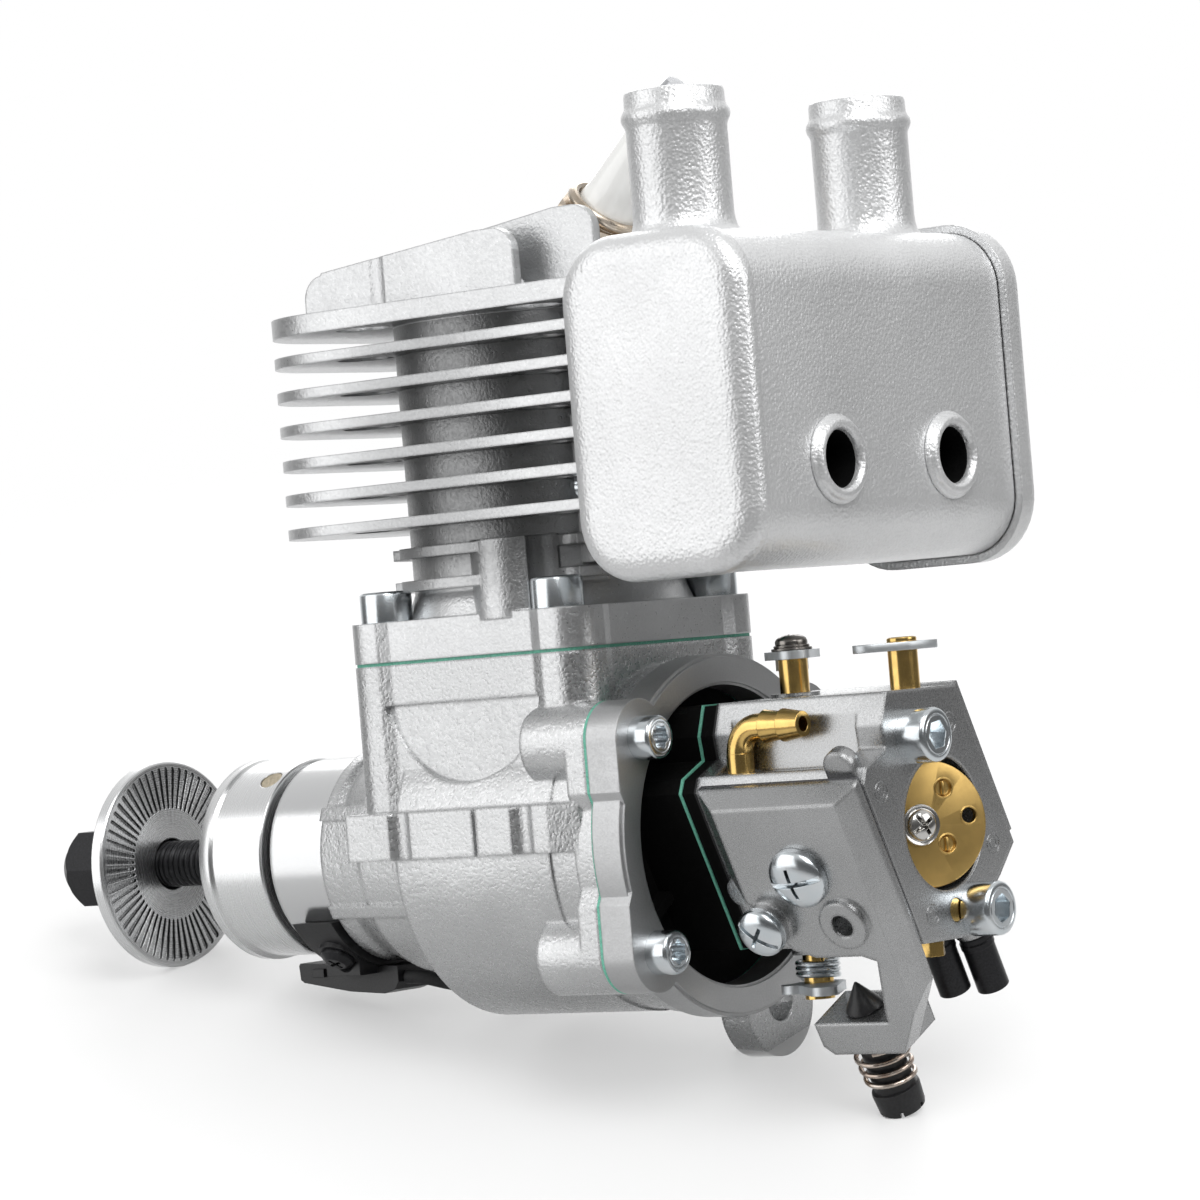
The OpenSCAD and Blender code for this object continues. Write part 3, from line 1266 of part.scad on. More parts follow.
module lead_plug() {
    color("#1c1c1e") coil_frame() translate([-9.8, -3.8, -coil_wire_r]) cube([13, 7.6, 2.6]);
}

crankcase();
main_bearings();
oil_seal();
rear_cover();
cover_gasket();
cover_screws();
crankshaft();
inner_races();
prop_hub();
hub_magnet();
prop_washer();
prop_bolt();
piston();
piston_ring();
wrist_pin();
connecting_rod();
rod_bearings();
crankpin();
cylinder_node();  // cylinder
base_gasket();
base_screws();
plug_shell();
plug_insulator();
plug_electrode();
exhaust_gasket();
muffler_shell();
muffler_lid();
muffler_tubes();
muffler_screws();
intake_block();
reed_petals();
reed_stop();
intake_gaskets();
heat_spacer();
carb_body();
pump_cover();
pump_gasket();
carb_cover_screws();
brass_fittings();
metering_cover();
carb_bolts();
throttle_shaft();
throttle_plate();
throttle_lever();
throttle_screws();
stop_lever();
return_spring();
choke_shaft();
choke_plate();
choke_screw();
choke_lever();
idle_screw();
idle_spring();
needle_low();
needle_high();
sensor_holder();
sensor_screw();
sensor_lead();
lead_coil();
lead_plug();
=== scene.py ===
import math

import bmesh
import bpy
from mathutils import Matrix, Vector


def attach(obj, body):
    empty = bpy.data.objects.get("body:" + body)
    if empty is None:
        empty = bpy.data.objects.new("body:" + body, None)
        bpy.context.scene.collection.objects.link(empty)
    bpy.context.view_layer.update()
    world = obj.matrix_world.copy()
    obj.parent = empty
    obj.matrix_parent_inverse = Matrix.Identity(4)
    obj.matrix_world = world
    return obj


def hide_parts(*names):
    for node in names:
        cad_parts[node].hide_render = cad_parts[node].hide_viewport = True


bl_info = {
    "name": "Model Aircraft Engine",
    "version": (1, 0, 0),
    "blender": (4, 5, 0),
    "location": "View3D > Sidebar > Engine",
    "description": "Builds the finishes and the fine pieces of a small single-cylinder aircraft engine",
    "category": "Object",
}

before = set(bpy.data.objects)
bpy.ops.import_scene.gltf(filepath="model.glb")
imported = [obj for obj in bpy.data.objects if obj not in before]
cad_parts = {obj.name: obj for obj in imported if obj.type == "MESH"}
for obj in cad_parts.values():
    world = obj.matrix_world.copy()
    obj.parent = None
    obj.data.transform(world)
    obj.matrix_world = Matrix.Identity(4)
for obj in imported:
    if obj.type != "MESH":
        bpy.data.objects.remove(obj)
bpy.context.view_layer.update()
MM = 0.001

# Places of the solids in millimetres: X along the shaft, Y across, Z up.
HUB_REAR, HUB_FRONT, WASHER_REAR = 87.5, 101.5, 123.5
CYLINDER_X, BASE_TOP, BASE_SCREW_X, BASE_SCREW_Y = 34, 38.4, 18, 20.2
COVER_SCREW_Y, COVER_SCREW_Z = 22.3, 16.8
CARB_REAR, CARB_BOLT = -40.5, 15.5
THROTTLE_X, CHOKE_XY, IDLE_XY = -14.2, (-36.5, 1.5), (-26.2, 16.6)
KEY_Y, KEY_Z = 15.2, 57.2
OUTLET_X, OUTLET_Y = -18.3, 24.2
MUFFLER_X, MUFFLER_Z, MUFFLER_CORNER = (-37, -3), (41.5, 93.5), 9.5


def mm(*values):
    """A point given in millimetres, in metres."""
    return Vector(values) * MM


def moved(x, y, z):
    return Matrix.Translation((x, y, z))


def turned(axis, degrees):
    return Matrix.Rotation(math.radians(degrees), 4, axis)


HERE = Matrix.Identity(4)
FORWARD, REARWARD = turned("Y", 90), turned("Y", -90)
# In the carburettor's own frame Y looks towards the pump cover and Z runs along its bolt line.
LEANED = turned("X", -26)
REAR_FACE = LEANED @ moved(CARB_REAR, 0, 0) @ REARWARD


def on_pump(x, out, v, spin=0.0):
    """A place on the pump cover whose Z looks outwards."""
    return LEANED @ moved(x, out, v) @ turned("X", -90) @ turned("Z", spin)


def spot(radius, degrees, x=0.0, y=0.0):
    """A point at a radius and an angle about (x, y)."""
    return x + radius * math.cos(math.radians(degrees)), y + radius * math.sin(math.radians(degrees))


def polygon(sides, radius=1.0, start=0.0):
    return [spot(radius, start + 360 * k / sides) for k in range(sides)]


def colour_property(name, description, default):
    return bpy.props.FloatVectorProperty(
        name=name, description=description, subtype="COLOR", default=default, min=0, max=1)


class EngineFinish(bpy.types.PropertyGroup):
    """Colours of the engine's finishes."""
    cast_colour: colour_property("Cast aluminium", "Colour of the blasted castings", (0.66, 0.665, 0.67))
    paint_colour: colour_property("Muffler paint", "Colour of the silver heat paint", (0.80, 0.805, 0.81))
    brass_colour: colour_property("Brass", "Colour of the brass shafts and the choke disc", (0.86, 0.58, 0.20))
    gasket_colour: colour_property("Gasket", "Colour of the fibre gaskets", (0.16, 0.50, 0.37))
    zinc_colour: colour_property("Zinc", "Colour of the plated screws", (0.74, 0.77, 0.79))


class EngineSizes(bpy.types.PropertyGroup):
    """Sizes of the pieces that the scene adds."""
    idle_turns: bpy.props.FloatProperty(
        name="Idle spring turns", description="Turns of the spring above the idle screw's cap",
        default=3.7, min=2, max=8)
    idle_wire: bpy.props.FloatProperty(
        name="Idle spring wire", description="Diameter of the idle spring's wire",
        default=0.00082, min=0.0004, max=0.0012, unit="LENGTH")
    washer_slots: bpy.props.IntProperty(
        name="Washer slots", description="Radial slots in the propeller washer", default=60, min=24, max=96)
    lead_diameter: bpy.props.FloatProperty(
        name="Sensor lead", description="Diameter of the sensor's lead", default=0.0024, min=0.002, max=0.004,
        unit="LENGTH")


class Value:
    """A node's output that takes part in Python expressions."""

    def __init__(self, tree, socket):
        self.tree, self.socket = tree, socket

    def _math(self, operation, a, b):
        return self.tree.value("ShaderNodeMath", {"operation": operation}, {0: a, 1: b})

    def __add__(self, other): return self._math("ADD", self, other)
    def __radd__(self, other): return self._math("ADD", other, self)
    def __sub__(self, other): return self._math("SUBTRACT", self, other)
    def __rsub__(self, other): return self._math("SUBTRACT", other, self)
    def __mul__(self, other): return self._math("MULTIPLY", self, other)
    def __rmul__(self, other): return self._math("MULTIPLY", other, self)
    def __gt__(self, other): return self._math("GREATER_THAN", self, other)
    def __lt__(self, other): return self._math("LESS_THAN", self, other)

    def step(self, low, high, to_low=0.0, to_high=1.0):
        """Maps low..high to another range, held at its ends."""
        return self.tree.value("ShaderNodeMapRange", {"clamp": True}, {
            "Value": self, "From Min": low, "From Max": high, "To Min": to_low, "To Max": to_high})


class Tree:
    """A node tree under construction."""

    def __init__(self, tree):
        self.nodes, self.links = tree.nodes, tree.links
        self.nodes.clear()

    def node(self, kind, settings, inputs):
        """Adds a node, sets it, then gives its sockets values or links."""
        node = self.nodes.new(kind)
        for name, value in settings.items():
            setattr(node, name, value)
        for key, value in inputs.items():
            self.feed(node.inputs[key], value)
        return node

    def value(self, kind, settings, inputs, output=0):
        """Adds a node and wraps one of its outputs."""
        return Value(self, self.node(kind, settings, inputs).outputs[output])

    def feed(self, socket, value):
        """Links a socket, or sets it where the value is a plain one."""
        if isinstance(value, Value):
            value = value.socket
        if isinstance(value, bpy.types.NodeSocket):
            self.links.new(value, socket)
        else:
            socket.default_value = value


def shade(tone, k=1.0):
    """A colour times k, opaque."""
    return (*[min(1.0, c * k) for c in tone[:3]], 1.0)


def shader_of(owner):
    """The shader tree of a material or a world."""
    owner.use_nodes = True
    return owner.node_tree


class Finish(Tree):
    """A material under construction: one Principled shader and what feeds it."""

    def __init__(self, name, colour, roughness, metallic=0.0, **constants):
        self.material = bpy.data.materials.new(name)
        super().__init__(shader_of(self.material))
        self.shader = self.node("ShaderNodeBsdfPrincipled", {}, {
            "Base Color": shade(colour), "Roughness": roughness, "Metallic": metallic, **constants})
        self.output = self.node("ShaderNodeOutputMaterial", {}, {"Surface": self.shader.outputs[0]})

    def drive(self, **sockets):
        """Feeds the shader's own sockets; an underscore stands for a space."""
        for name, value in sockets.items():
            self.feed(self.shader.inputs[name.replace("_", " ")], value)

    def place(self):
        """Object coordinates."""
        return self.node("ShaderNodeTexCoord", {}, {}).outputs["Object"]

    def axis(self, index):
        """Object coordinate along X, Y or Z."""
        return self.value("ShaderNodeSeparateXYZ", {}, {0: self.place()}, index)

    def spin_radius(self, across=(0, 1, 1), start=(0, 0, 0)):
        """Distance from the crankshaft's axis, or from one through a start; across is 0 along that axis."""
        flat = self.value("ShaderNodeVectorMath", {"operation": "SUBTRACT"}, {0: self.place(), 1: start})
        flat = self.value("ShaderNodeVectorMath", {"operation": "MULTIPLY"}, {0: flat, 1: across})
        return self.value("ShaderNodeVectorMath", {"operation": "LENGTH"}, {0: flat}, "Value")

    def noise(self, scale, detail=2.0):
        return self.value("ShaderNodeTexNoise", {}, {"Vector": self.place(), "Scale": scale, "Detail": detail})

    def rings(self, scale):
        """Fine lathe rings about the shaft."""
        reach = self.spin_radius() + self.axis(0)
        place = self.value("ShaderNodeCombineXYZ", {}, {0: reach * scale})
        return self.value("ShaderNodeTexNoise", {}, {"Vector": place, "Scale": 1.0, "Detail": 3.0})

    def cells(self, scale):
        """Soft round lumps."""
        return self.value("ShaderNodeTexVoronoi", {"feature": "SMOOTH_F1"}, {
            "Vector": self.place(), "Scale": scale}, "Distance")

    def mix(self, factor, a, b):
        """Colour a where factor is 0, b where it is 1."""
        return self.value("ShaderNodeMix", {"data_type": "RGBA"}, {0: factor, 6: a, 7: b}, 2)

    def relief(self, height, depth, edge=0.0):
        """Bumps the surface by height times depth in metres, over edges rounded by a radius."""
        inputs = {"Height": height, "Distance": depth}
        if edge:
            inputs["Normal"] = self.value("ShaderNodeBevel", {"samples": 4}, {"Radius": edge})
        self.drive(Normal=self.value("ShaderNodeBump", {}, inputs))


def cast_metal(name, colour, grain, roughness, edge, depth, machined_from=None, fin_shade=False):
    """Blasted casting, turned bright ahead of one station along the shaft, with painted shade deep between fins."""
    f = Finish(name, colour, roughness, 0.93)
    fine, coarse, cloud = f.noise(grain, 3.0), f.noise(grain * 0.36), f.noise(60, 3.0)
    tone = f.mix(cloud.step(0.35, 0.7), shade(colour, 0.93), shade(colour, 1.06))
    tone = f.mix(fine.step(0.35, 0.62) * 0.12, tone, shade(colour, 0.78))
    if fin_shade:
        # Painted shade between the fins: darkest at the barrel, none at the fins' tips, from below the lowest fin up to
        # the top plate.
        barrel = 1 - f.spin_radius((1, 1, 0), (CYLINDER_X * MM, 0, 0)).step(0.0222, 0.034)
        stack = f.axis(2).step(0.040, 0.048) * (f.axis(2) < 0.0862)
        tone = f.mix(barrel * stack * 0.85, tone, shade(colour, 0.30))
    rough = fine.step(0.3, 0.7, roughness - 0.07, roughness + 0.10)
    height = fine * 0.55 + coarse * 0.45
    if machined_from is not None:
        machined = f.axis(0) > machined_from
        lines = f.rings(5200)
        rough = rough * (1 - machined) + (lines * 0.10 + 0.15) * machined
        height = height * (1 - machined) + lines * machined * 0.12
        tone = f.mix(machined, tone, shade(colour, 1.12))
    f.drive(Base_Color=tone, Roughness=rough)
    f.relief(height, depth, edge)
    return f.material


def turned_metal(name, colour, edge):
    """Lathe-turned aluminium with fine rings about the shaft, with painted shade on the walls of the washer's slots."""
    f = Finish(name, colour, 0.28, 1.0)
    ring = f.rings(5200)
    tone = f.mix(ring.step(0.35, 0.65), shade(colour, 0.97), shade(colour, 1.04))
    rear = WASHER_REAR * MM
    # Painted shade: the slots' walls, between 0.1 and 0.62 mm in from the washer's rear face, are painted dark.
    slot_shade = (f.axis(0) > rear + 0.0001) * (f.axis(0) < rear + 0.00062) * (f.spin_radius() < 0.0173)
    f.drive(Base_Color=f.mix(slot_shade, tone, shade(colour, 0.16)), Roughness=ring.step(0.3, 0.7, 0.22, 0.32))
    f.relief(ring, 0.000004, edge)
    return f.material


def heat_paint(name, colour):
    """Silver heat paint with a soft leathery skin."""
    f = Finish(name, colour, 0.36, 0.62, **{"Coat Weight": 0.15, "Coat Roughness": 0.3})
    lumps = f.cells(2000)
    fine, cloud = f.noise(2600), f.noise(55, 3.0)
    tone = f.mix(cloud.step(0.35, 0.7), shade(colour, 0.95), shade(colour, 1.05))
    f.drive(Base_Color=f.mix(fine.step(0.45, 0.7) * 0.25, tone, shade(colour, 0.8)),
            Roughness=fine.step(0.3, 0.7, 0.30, 0.44))
    f.relief(lumps * 0.8 + fine * 0.2, 0.00012, 0.0005)
    return f.material


def plated(name, colour, roughness, tint=None):
    """Bright plated steel with faint drifts of tint."""
    f = Finish(name, colour, roughness, 1.0)
    cloud, fine = f.noise(420, 3.0), f.noise(2800)
    f.drive(Base_Color=f.mix(cloud.step(0.35, 0.65), shade(colour), shade(tint) if tint else shade(colour, 0.9)),
            Roughness=fine.step(0.3, 0.7, roughness * 0.92, roughness * 1.12))
    f.relief(fine, 0.000004, 0.00018)
    return f.material


def dark_part(name, colour, roughness, grain=2400, depth=0.00003, edge=0.0002, metallic=0.0, specular=0.5):
    """Plastic, rubber, oxide or sheet with a fine grain."""
    f = Finish(name, colour, roughness, metallic, **{"Specular IOR Level": specular})
    fine = f.noise(grain)
    f.drive(Base_Color=f.mix(fine.step(0.35, 0.7), shade(colour, 0.8), shade(colour, 1.5)),
            Roughness=fine.step(0.3, 0.7, roughness * 0.85, min(1.0, roughness * 1.15)))
    f.relief(fine, depth, edge)
    return f.material


def fibre_sheet(name, colour):
    """Pressed fibre gasket; the one at the carburettor is black."""
    f = Finish(name, colour, 0.62)
    fibre = f.noise(3800, 3.0)
    green = f.mix(fibre.step(0.3, 0.7), shade(colour, 0.8), shade(colour, 1.3))
    spacer_front = -0.0065
    f.drive(Base_Color=f.mix(f.axis(0) > spacer_front, (0.015, 0.015, 0.016, 1.0), green))
    f.relief(fibre, 0.00002)
    return f.material


def glaze(name):
    """White glazed ceramic."""
    f = Finish(name, (0.90, 0.90, 0.88), 0.08, **{"Coat Weight": 0.5})
    cloud = f.noise(300)
    f.drive(Roughness=cloud.step(0.3, 0.7, 0.06, 0.13))
    return f.material


def make_finishes(look):
    """All finishes of the engine, by the name of what they cover."""
    cast, brass, zinc = look.cast_colour, look.brass_colour, look.zinc_colour
    # A casting's numbers: grain, roughness, radius of its edges, depth of the grain, where turning starts, whether
    # shade is painted between fins.
    return {
        "crankcase": cast_metal("blasted crankcase", shade(cast, 0.92), 2100, 0.29, 0.0009, 0.00020, 0.0733),
        "cover": cast_metal("blasted cover", shade(cast, 0.80), 3200, 0.40, 0.0003, 0.00006),
        "fins": cast_metal("blasted cylinder", cast, 2300, 0.34, 0.0005, 0.00013, None, True),
        "carburettor": cast_metal("die cast body", shade(cast, 0.70), 3600, 0.27, 0.0009, 0.000015),
        "turned": turned_metal("turned aluminium", (0.78, 0.785, 0.79), 0.0003),
        "paint": heat_paint("silver heat paint", look.paint_colour),
        "chrome": plated("chrome", (0.70, 0.69, 0.67), 0.12),
        "zinc": plated("zinc plate", zinc, 0.2, (0.69, 0.74, 0.77)),
        "steel": plated("ground steel", (0.62, 0.63, 0.65), 0.22),
        "nickel": plated("nickel plate", (0.60, 0.53, 0.45), 0.24, (0.50, 0.42, 0.33)),
        "brass": plated("brass", brass, 0.19, shade(brass, 0.82)),
        "brass sheet": plated("brass sheet", shade(brass, 0.74), 0.36, shade(brass, 0.66)),
        "bronze": plated("bronze", (0.62, 0.40, 0.20), 0.3),
        "spring": plated("spring steel", (0.62, 0.56, 0.50), 0.2, (0.40, 0.30, 0.24)),
        "gunmetal": plated("dark nickel", (0.30, 0.28, 0.26), 0.2, (0.16, 0.15, 0.14)),
        "forged": plated("forged steel", (0.42, 0.42, 0.43), 0.4),
        "plastic": dark_part("black plastic", (0.012, 0.012, 0.013), 0.38),
        # Matt black of the intake block and heat spacer, also used as painted shade inside the muffler's access tubes.
        "black and bore shade": dark_part("matt black", (0.004, 0.004, 0.004), 0.75, specular=0.08),
        "lever": plated("zinc sheet", shade(zinc, 0.95), 0.42),
        "rubber": dark_part("black rubber", (0.02, 0.02, 0.021), 0.6),
        "oxide": dark_part("black oxide", (0.016, 0.016, 0.018), 0.33, 3000, 0.00001, 0.0003, 0.5),
        "grey rubber": dark_part("grey rubber", (0.06, 0.06, 0.065), 0.55),
        "fibre": fibre_sheet("fibre gasket", look.gasket_colour),
        "ceramic": glaze("glazed ceramic"),
        "magnet": dark_part("magnet", (0.40, 0.34, 0.24), 0.45),
        "reed": dark_part("reed sheet", (0.30, 0.24, 0.10), 0.35),
    }


# The frame's nodes by the finish that covers them.
COVERS = {
    "crankcase": "crankcase",
    "cover": "rear_cover",
    "fins": "cylinder",
    "carburettor": "carb_body pump_cover metering_cover",
    "turned": "prop_hub prop_washer",
    "paint": "muffler_shell muffler_lid muffler_tubes",
    "zinc": "cover_screws base_screws muffler_screws carb_cover_screws carb_bolts reed_stop choke_screw",
    "lever": "throttle_lever stop_lever choke_lever",
    "steel": "main_bearings inner_races crankshaft crankpin wrist_pin piston_ring plug_electrode "
        "return_spring idle_spring piston",
    "nickel": "plug_shell",
    "brass": "brass_fittings throttle_shaft throttle_plate choke_shaft choke_plate",
    "bronze": "rod_bearings",
    "forged": "connecting_rod",
    "plastic": "sensor_holder lead_plug",
    "black and bore shade": "intake_block heat_spacer",
    "rubber": "oil_seal sensor_lead lead_coil",
    "oxide": "prop_bolt throttle_screws idle_screw needle_low needle_high sensor_screw",
    "grey rubber": "pump_gasket",
    "fibre": "cover_gasket base_gasket exhaust_gasket intake_gaskets",
    "ceramic": "plug_insulator",
    "magnet": "hub_magnet",
    "reed": "reed_petals",
}
finishes = {}


class Shape:
    """A mesh under construction, in millimetres."""

    def __init__(self):
        self.bm = bmesh.new()

    def skin(self, rings, loop=False, ends=(True, True)):
        """Joins rings of equally many points; a loop comes back to its first ring."""
        rows = [[self.bm.verts.new(p) for p in ring] for ring in rings]
        for i in range(len(rows) if loop else len(rows) - 1):
            a, b = rows[i], rows[(i + 1) % len(rows)]
            for k in range(len(a)):
                m = (k + 1) % len(a)
                self.bm.faces.new((a[k], a[m], b[m], b[k]))
        if not loop:
            for wanted, row in zip(ends, (rows[0], rows[-1])):
                if wanted:
                    self.bm.faces.new(row)
        return self

    def lathe(self, profile, sides=72, loop=False, at=HERE):
        """Turns a profile of (radius, height) about Z."""
        rings = [[at @ Vector((r * u, r * v, z)) for u, v in polygon(sides)] for r, z in profile]
        return self.skin(rings, loop, (profile[0][0] > 0, profile[-1][0] > 0))

    def prism(self, outline, z0, z1, at=HERE):
        """Extrudes an outline of (x, y) along Z."""
        return self.skin([[at @ Vector((x, y, z)) for x, y in outline] for z in (z0, z1)])

    def tube(self, path, radius, sides=12, loop=False):
        """Sweeps a circle along points."""
        path = [Vector(p) for p in path]
        count, rings, side = len(path), [], None
        for i, point in enumerate(path):
            before = path[i - 1] if i or loop else path[0]
            after = path[(i + 1) % count] if i < count - 1 or loop else path[-1]
            along = (after - before).normalized()
            if side is None:
                side = along.orthogonal()
            side = (side - along * side.dot(along)).normalized()
            other = along.cross(side)
            rings.append([point + u * side + v * other for u, v in polygon(sides, radius)])
        return self.skin(rings, loop)

    def mend(self):
        """Merges doubles and points the faces outwards."""
        bmesh.ops.remove_doubles(self.bm, verts=self.bm.verts, dist=1e-4)
        bmesh.ops.recalc_face_normals(self.bm, faces=self.bm.faces)

    def soften(self, width):
        """Rounds every sharp edge."""
        self.mend()
        edges = [e for e in self.bm.edges if len(e.link_faces) == 2 and e.calc_face_angle(0) > math.radians(40)]
        bmesh.ops.bevel(self.bm, geom=edges, offset=width, offset_type="OFFSET", segments=2, profile=0.5,
                        affect="EDGES", clamp_overlap=True)
        return self

    def mesh(self, name):
        """The finished mesh; the shape is used up."""
        self.mend()
        made = bpy.data.meshes.new(name)
        self.bm.to_mesh(made)
        self.bm.free()
        return made


def put(name, data):
    """A new object of some data, put in the scene."""
    made = bpy.data.objects.new(name, data)
    bpy.context.collection.objects.link(made)
    return made


class Graph(Tree):
    """A geometry node tree with named inputs, and the meshes that it grows."""

    def __init__(self, name, **inputs):
        self.group = bpy.data.node_groups.new(name, "GeometryNodeTree")
        super().__init__(self.group)
        self.group.interface.new_socket("Geometry", in_out="OUTPUT", socket_type="NodeSocketGeometry")
        for label, kind in {"Geometry": "Geometry", **inputs, "Material": "Material"}.items():
            self.group.interface.new_socket(label.replace("_", " "), in_out="INPUT", socket_type="NodeSocket" + kind)
        self.inputs = self.nodes.new("NodeGroupInput").outputs

    def end(self, geometry):
        """Realizes the instances, gives them the material and closes the tree."""
        real = self.value("GeometryNodeRealizeInstances", {}, {0: geometry})
        painted = self.value("GeometryNodeSetMaterial", {}, {"Geometry": real, "Material": self.inputs["Material"]})
        self.node("NodeGroupOutput", {}, {0: painted})
        return self

    def grow(self, mesh, **values):
        """The plain mesh that the tree makes of a mesh and its inputs."""
        host = put(mesh.name, mesh)
        modifier = host.modifiers.new("grow", "NODES")
        modifier.node_group = self.group
        for item in self.group.interface.items_tree:
            label = item.name.replace(" ", "_")
            if item.in_out == "INPUT" and label in values:
                modifier[item.identifier] = values[label]
        return evaluated(host)


def evaluated(host):
    """A host's mesh with its modifiers applied; the host is removed."""
    host.update_tag()
    bpy.context.view_layer.update()
    made = bpy.data.meshes.new_from_object(host.evaluated_get(bpy.context.evaluated_depsgraph_get()))
    bpy.data.objects.remove(host)
    if not made.polygons:
        raise RuntimeError(f"{made.name} came out empty")
    return made


def carved(body, cutter, operation="DIFFERENCE"):
    """The mesh of one closed shape less, or shared with, another."""
    host, tool = put(body.name, body), put("tool", cutter)
    modifier = host.modifiers.new("cut", "BOOLEAN")
    modifier.object, modifier.operation, modifier.solver = tool, operation, "EXACT"
    made = evaluated(host)
    bpy.data.objects.remove(tool)
    return made


def joined(name, *meshes):
    """Several closed shapes in one mesh."""
    whole = bmesh.new()
    for mesh in meshes:
        whole.from_mesh(mesh)
    made = bpy.data.meshes.new(name)
    whole.to_mesh(made)
    whole.free()
    return made


def piece(name, mesh, place, finish, body, *nodes):
    """Puts a mesh drawn in millimetres in its place and ties it to its body."""
    mesh.transform(Matrix.Scale(MM, 4) @ place)
    mesh.materials.clear()
    mesh.materials.append(finishes[finish])
    mesh.shade_smooth()
    mesh.set_sharp_from_angle(angle=math.radians(34))
    made = put(name.replace(" ", "_"), mesh)
    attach(made, body)
    if nodes:
        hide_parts(*nodes)
    return made


def lever_outline(hub, *arms):
    """Outline of a flat lever: a round hub and its arms, each (direction, reach, tip radius)."""
    points = []
    for k, (angle, reach, tip) in enumerate(arms):
        lean = math.degrees(math.asin((hub - tip) / reach)) if hub > tip else 0
        points += [(*spot(tip, a, reach), angle) for a in range(int(-90 + lean), int(91 - lean), 12)]
        following = arms[(k + 1) % len(arms)][0] + (360 if k == len(arms) - 1 else 0)
        points += [(hub, 0, a) for a in range(int(angle + 90 - lean), int(following - 89 + lean), 12)]
    return [(x * math.cos(math.radians(a)) - y * math.sin(math.radians(a)),
             x * math.sin(math.radians(a)) + y * math.cos(math.radians(a))) for x, y, a in points]


def lobed(radius, depth, lobes=6, steps=8):
    """Outline of a socket with round lobes."""
    return [spot(radius - depth * (0.5 - 0.5 * math.cos(2 * math.pi * k / steps)), 360 * k / (lobes * steps))
            for k in range(lobes * steps)]


def oblong(x0, x1, half):
    return [(x0, -half), (x1, -half), (x1, half), (x0, half)]


def round_box(x0, x1, y0, y1, r, steps=8):
    """Outline of a rectangle with round corners."""
    corners = ((x1 - r, y1 - r, 0), (x0 + r, y1 - r, 90), (x0 + r, y0 + r, 180), (x1 - r, y0 + r, 270))
    return [spot(r, a + 90 * k / steps, x, y) for x, y, a in corners for k in range(steps + 1)]


def ring_graph():
    """Copies of one mesh, evenly around Z."""
    graph = Graph("even ring", Count="Int")
    points = graph.value("GeometryNodePoints", {}, {"Count": graph.inputs["Count"]})
    index = graph.value("GeometryNodeInputIndex", {}, {})
    share = graph.value("ShaderNodeMath", {"operation": "DIVIDE"}, {0: index, 1: graph.inputs["Count"]})
    turn = graph.value("ShaderNodeCombineXYZ", {}, {2: share * (2 * math.pi)})
    return graph.end(graph.value("GeometryNodeInstanceOnPoints", {}, {
        "Points": points, "Instance": graph.inputs["Geometry"], "Rotation": turn}))


def scatter_graph():
    """One object on every point of a mesh, each turned about Z by chance."""
    graph = Graph("screw set", Part="Object", Seed="Int", Turn="Float")
    part = graph.value("GeometryNodeObjectInfo", {}, {"Object": graph.inputs["Part"]}, "Geometry")
    chance = graph.value("FunctionNodeRandomValue", {"data_type": "FLOAT"}, {"Seed": graph.inputs["Seed"]}, 1)
    turn = graph.value("ShaderNodeCombineXYZ", {}, {2: chance * graph.inputs["Turn"]})
    return graph.end(graph.value("GeometryNodeInstanceOnPoints", {}, {
        "Points": graph.inputs["Geometry"], "Instance": part, "Rotation": turn}))


def spring_graph():
    """Round wire wound about Z from the origin upwards."""
    graph = Graph("wound wire", Turns="Float", Radius="Float", Far_Radius="Float", Height="Float", Wire="Float")
    line = graph.value("GeometryNodeCurveSpiral", {}, {
        "Resolution": 28, "Rotations": graph.inputs["Turns"], "Start Radius": graph.inputs["Radius"],
        "End Radius": graph.inputs["Far Radius"], "Height": graph.inputs["Height"]})
    section = graph.value("GeometryNodeCurvePrimitiveCircle", {}, {
        "Resolution": 10, "Radius": graph.inputs["Wire"]})
    return graph.end(graph.value("GeometryNodeCurveToMesh", {}, {
        "Curve": line, "Profile Curve": section, "Fill Caps": True}))


def wound(name, turns, radius, height, wire, finish, far_radius=None):
    """A wound wire of the given turns; it widens or narrows to its far radius."""
    seed = bpy.data.meshes.new(name)
    return spring_graph().grow(seed, Turns=turns, Radius=radius, Far_Radius=far_radius or radius, Height=height,
                               Wire=wire, Material=finishes[finish])


def screw_set(name, template, points, finish, seed):
    """One screw on every point, looking along Z."""
    part = put(name + " part", template)
    spots = bpy.data.meshes.new(name)
    spots.from_pydata(points, [], [])
    made = scatter_graph().grow(spots, Part=part, Seed=seed, Turn=2 * math.pi, Material=finishes[finish])
    bpy.data.objects.remove(part)
    return made


def socket_screw(shank, radius, height, length, socket):
    """Cap screw along Z, its head above zero."""
    rim = [(0, 0.55), (0.12, 0.25), (0.4, 0.05), (0.75, 0), (1.0, 0), (1.05, 0.09), (1.2, 0.09), (1.25, 0)]
    body = Shape().lathe([(0, -length), (shank, -length), (shank, 0), (radius, 0),
                          *[(radius - r, height - h) for r, h in rim], (0, height)], 64).mesh("cap screw")
    return carved(body, Shape().prism(socket, height * 0.45, height + 1).mesh("socket"))


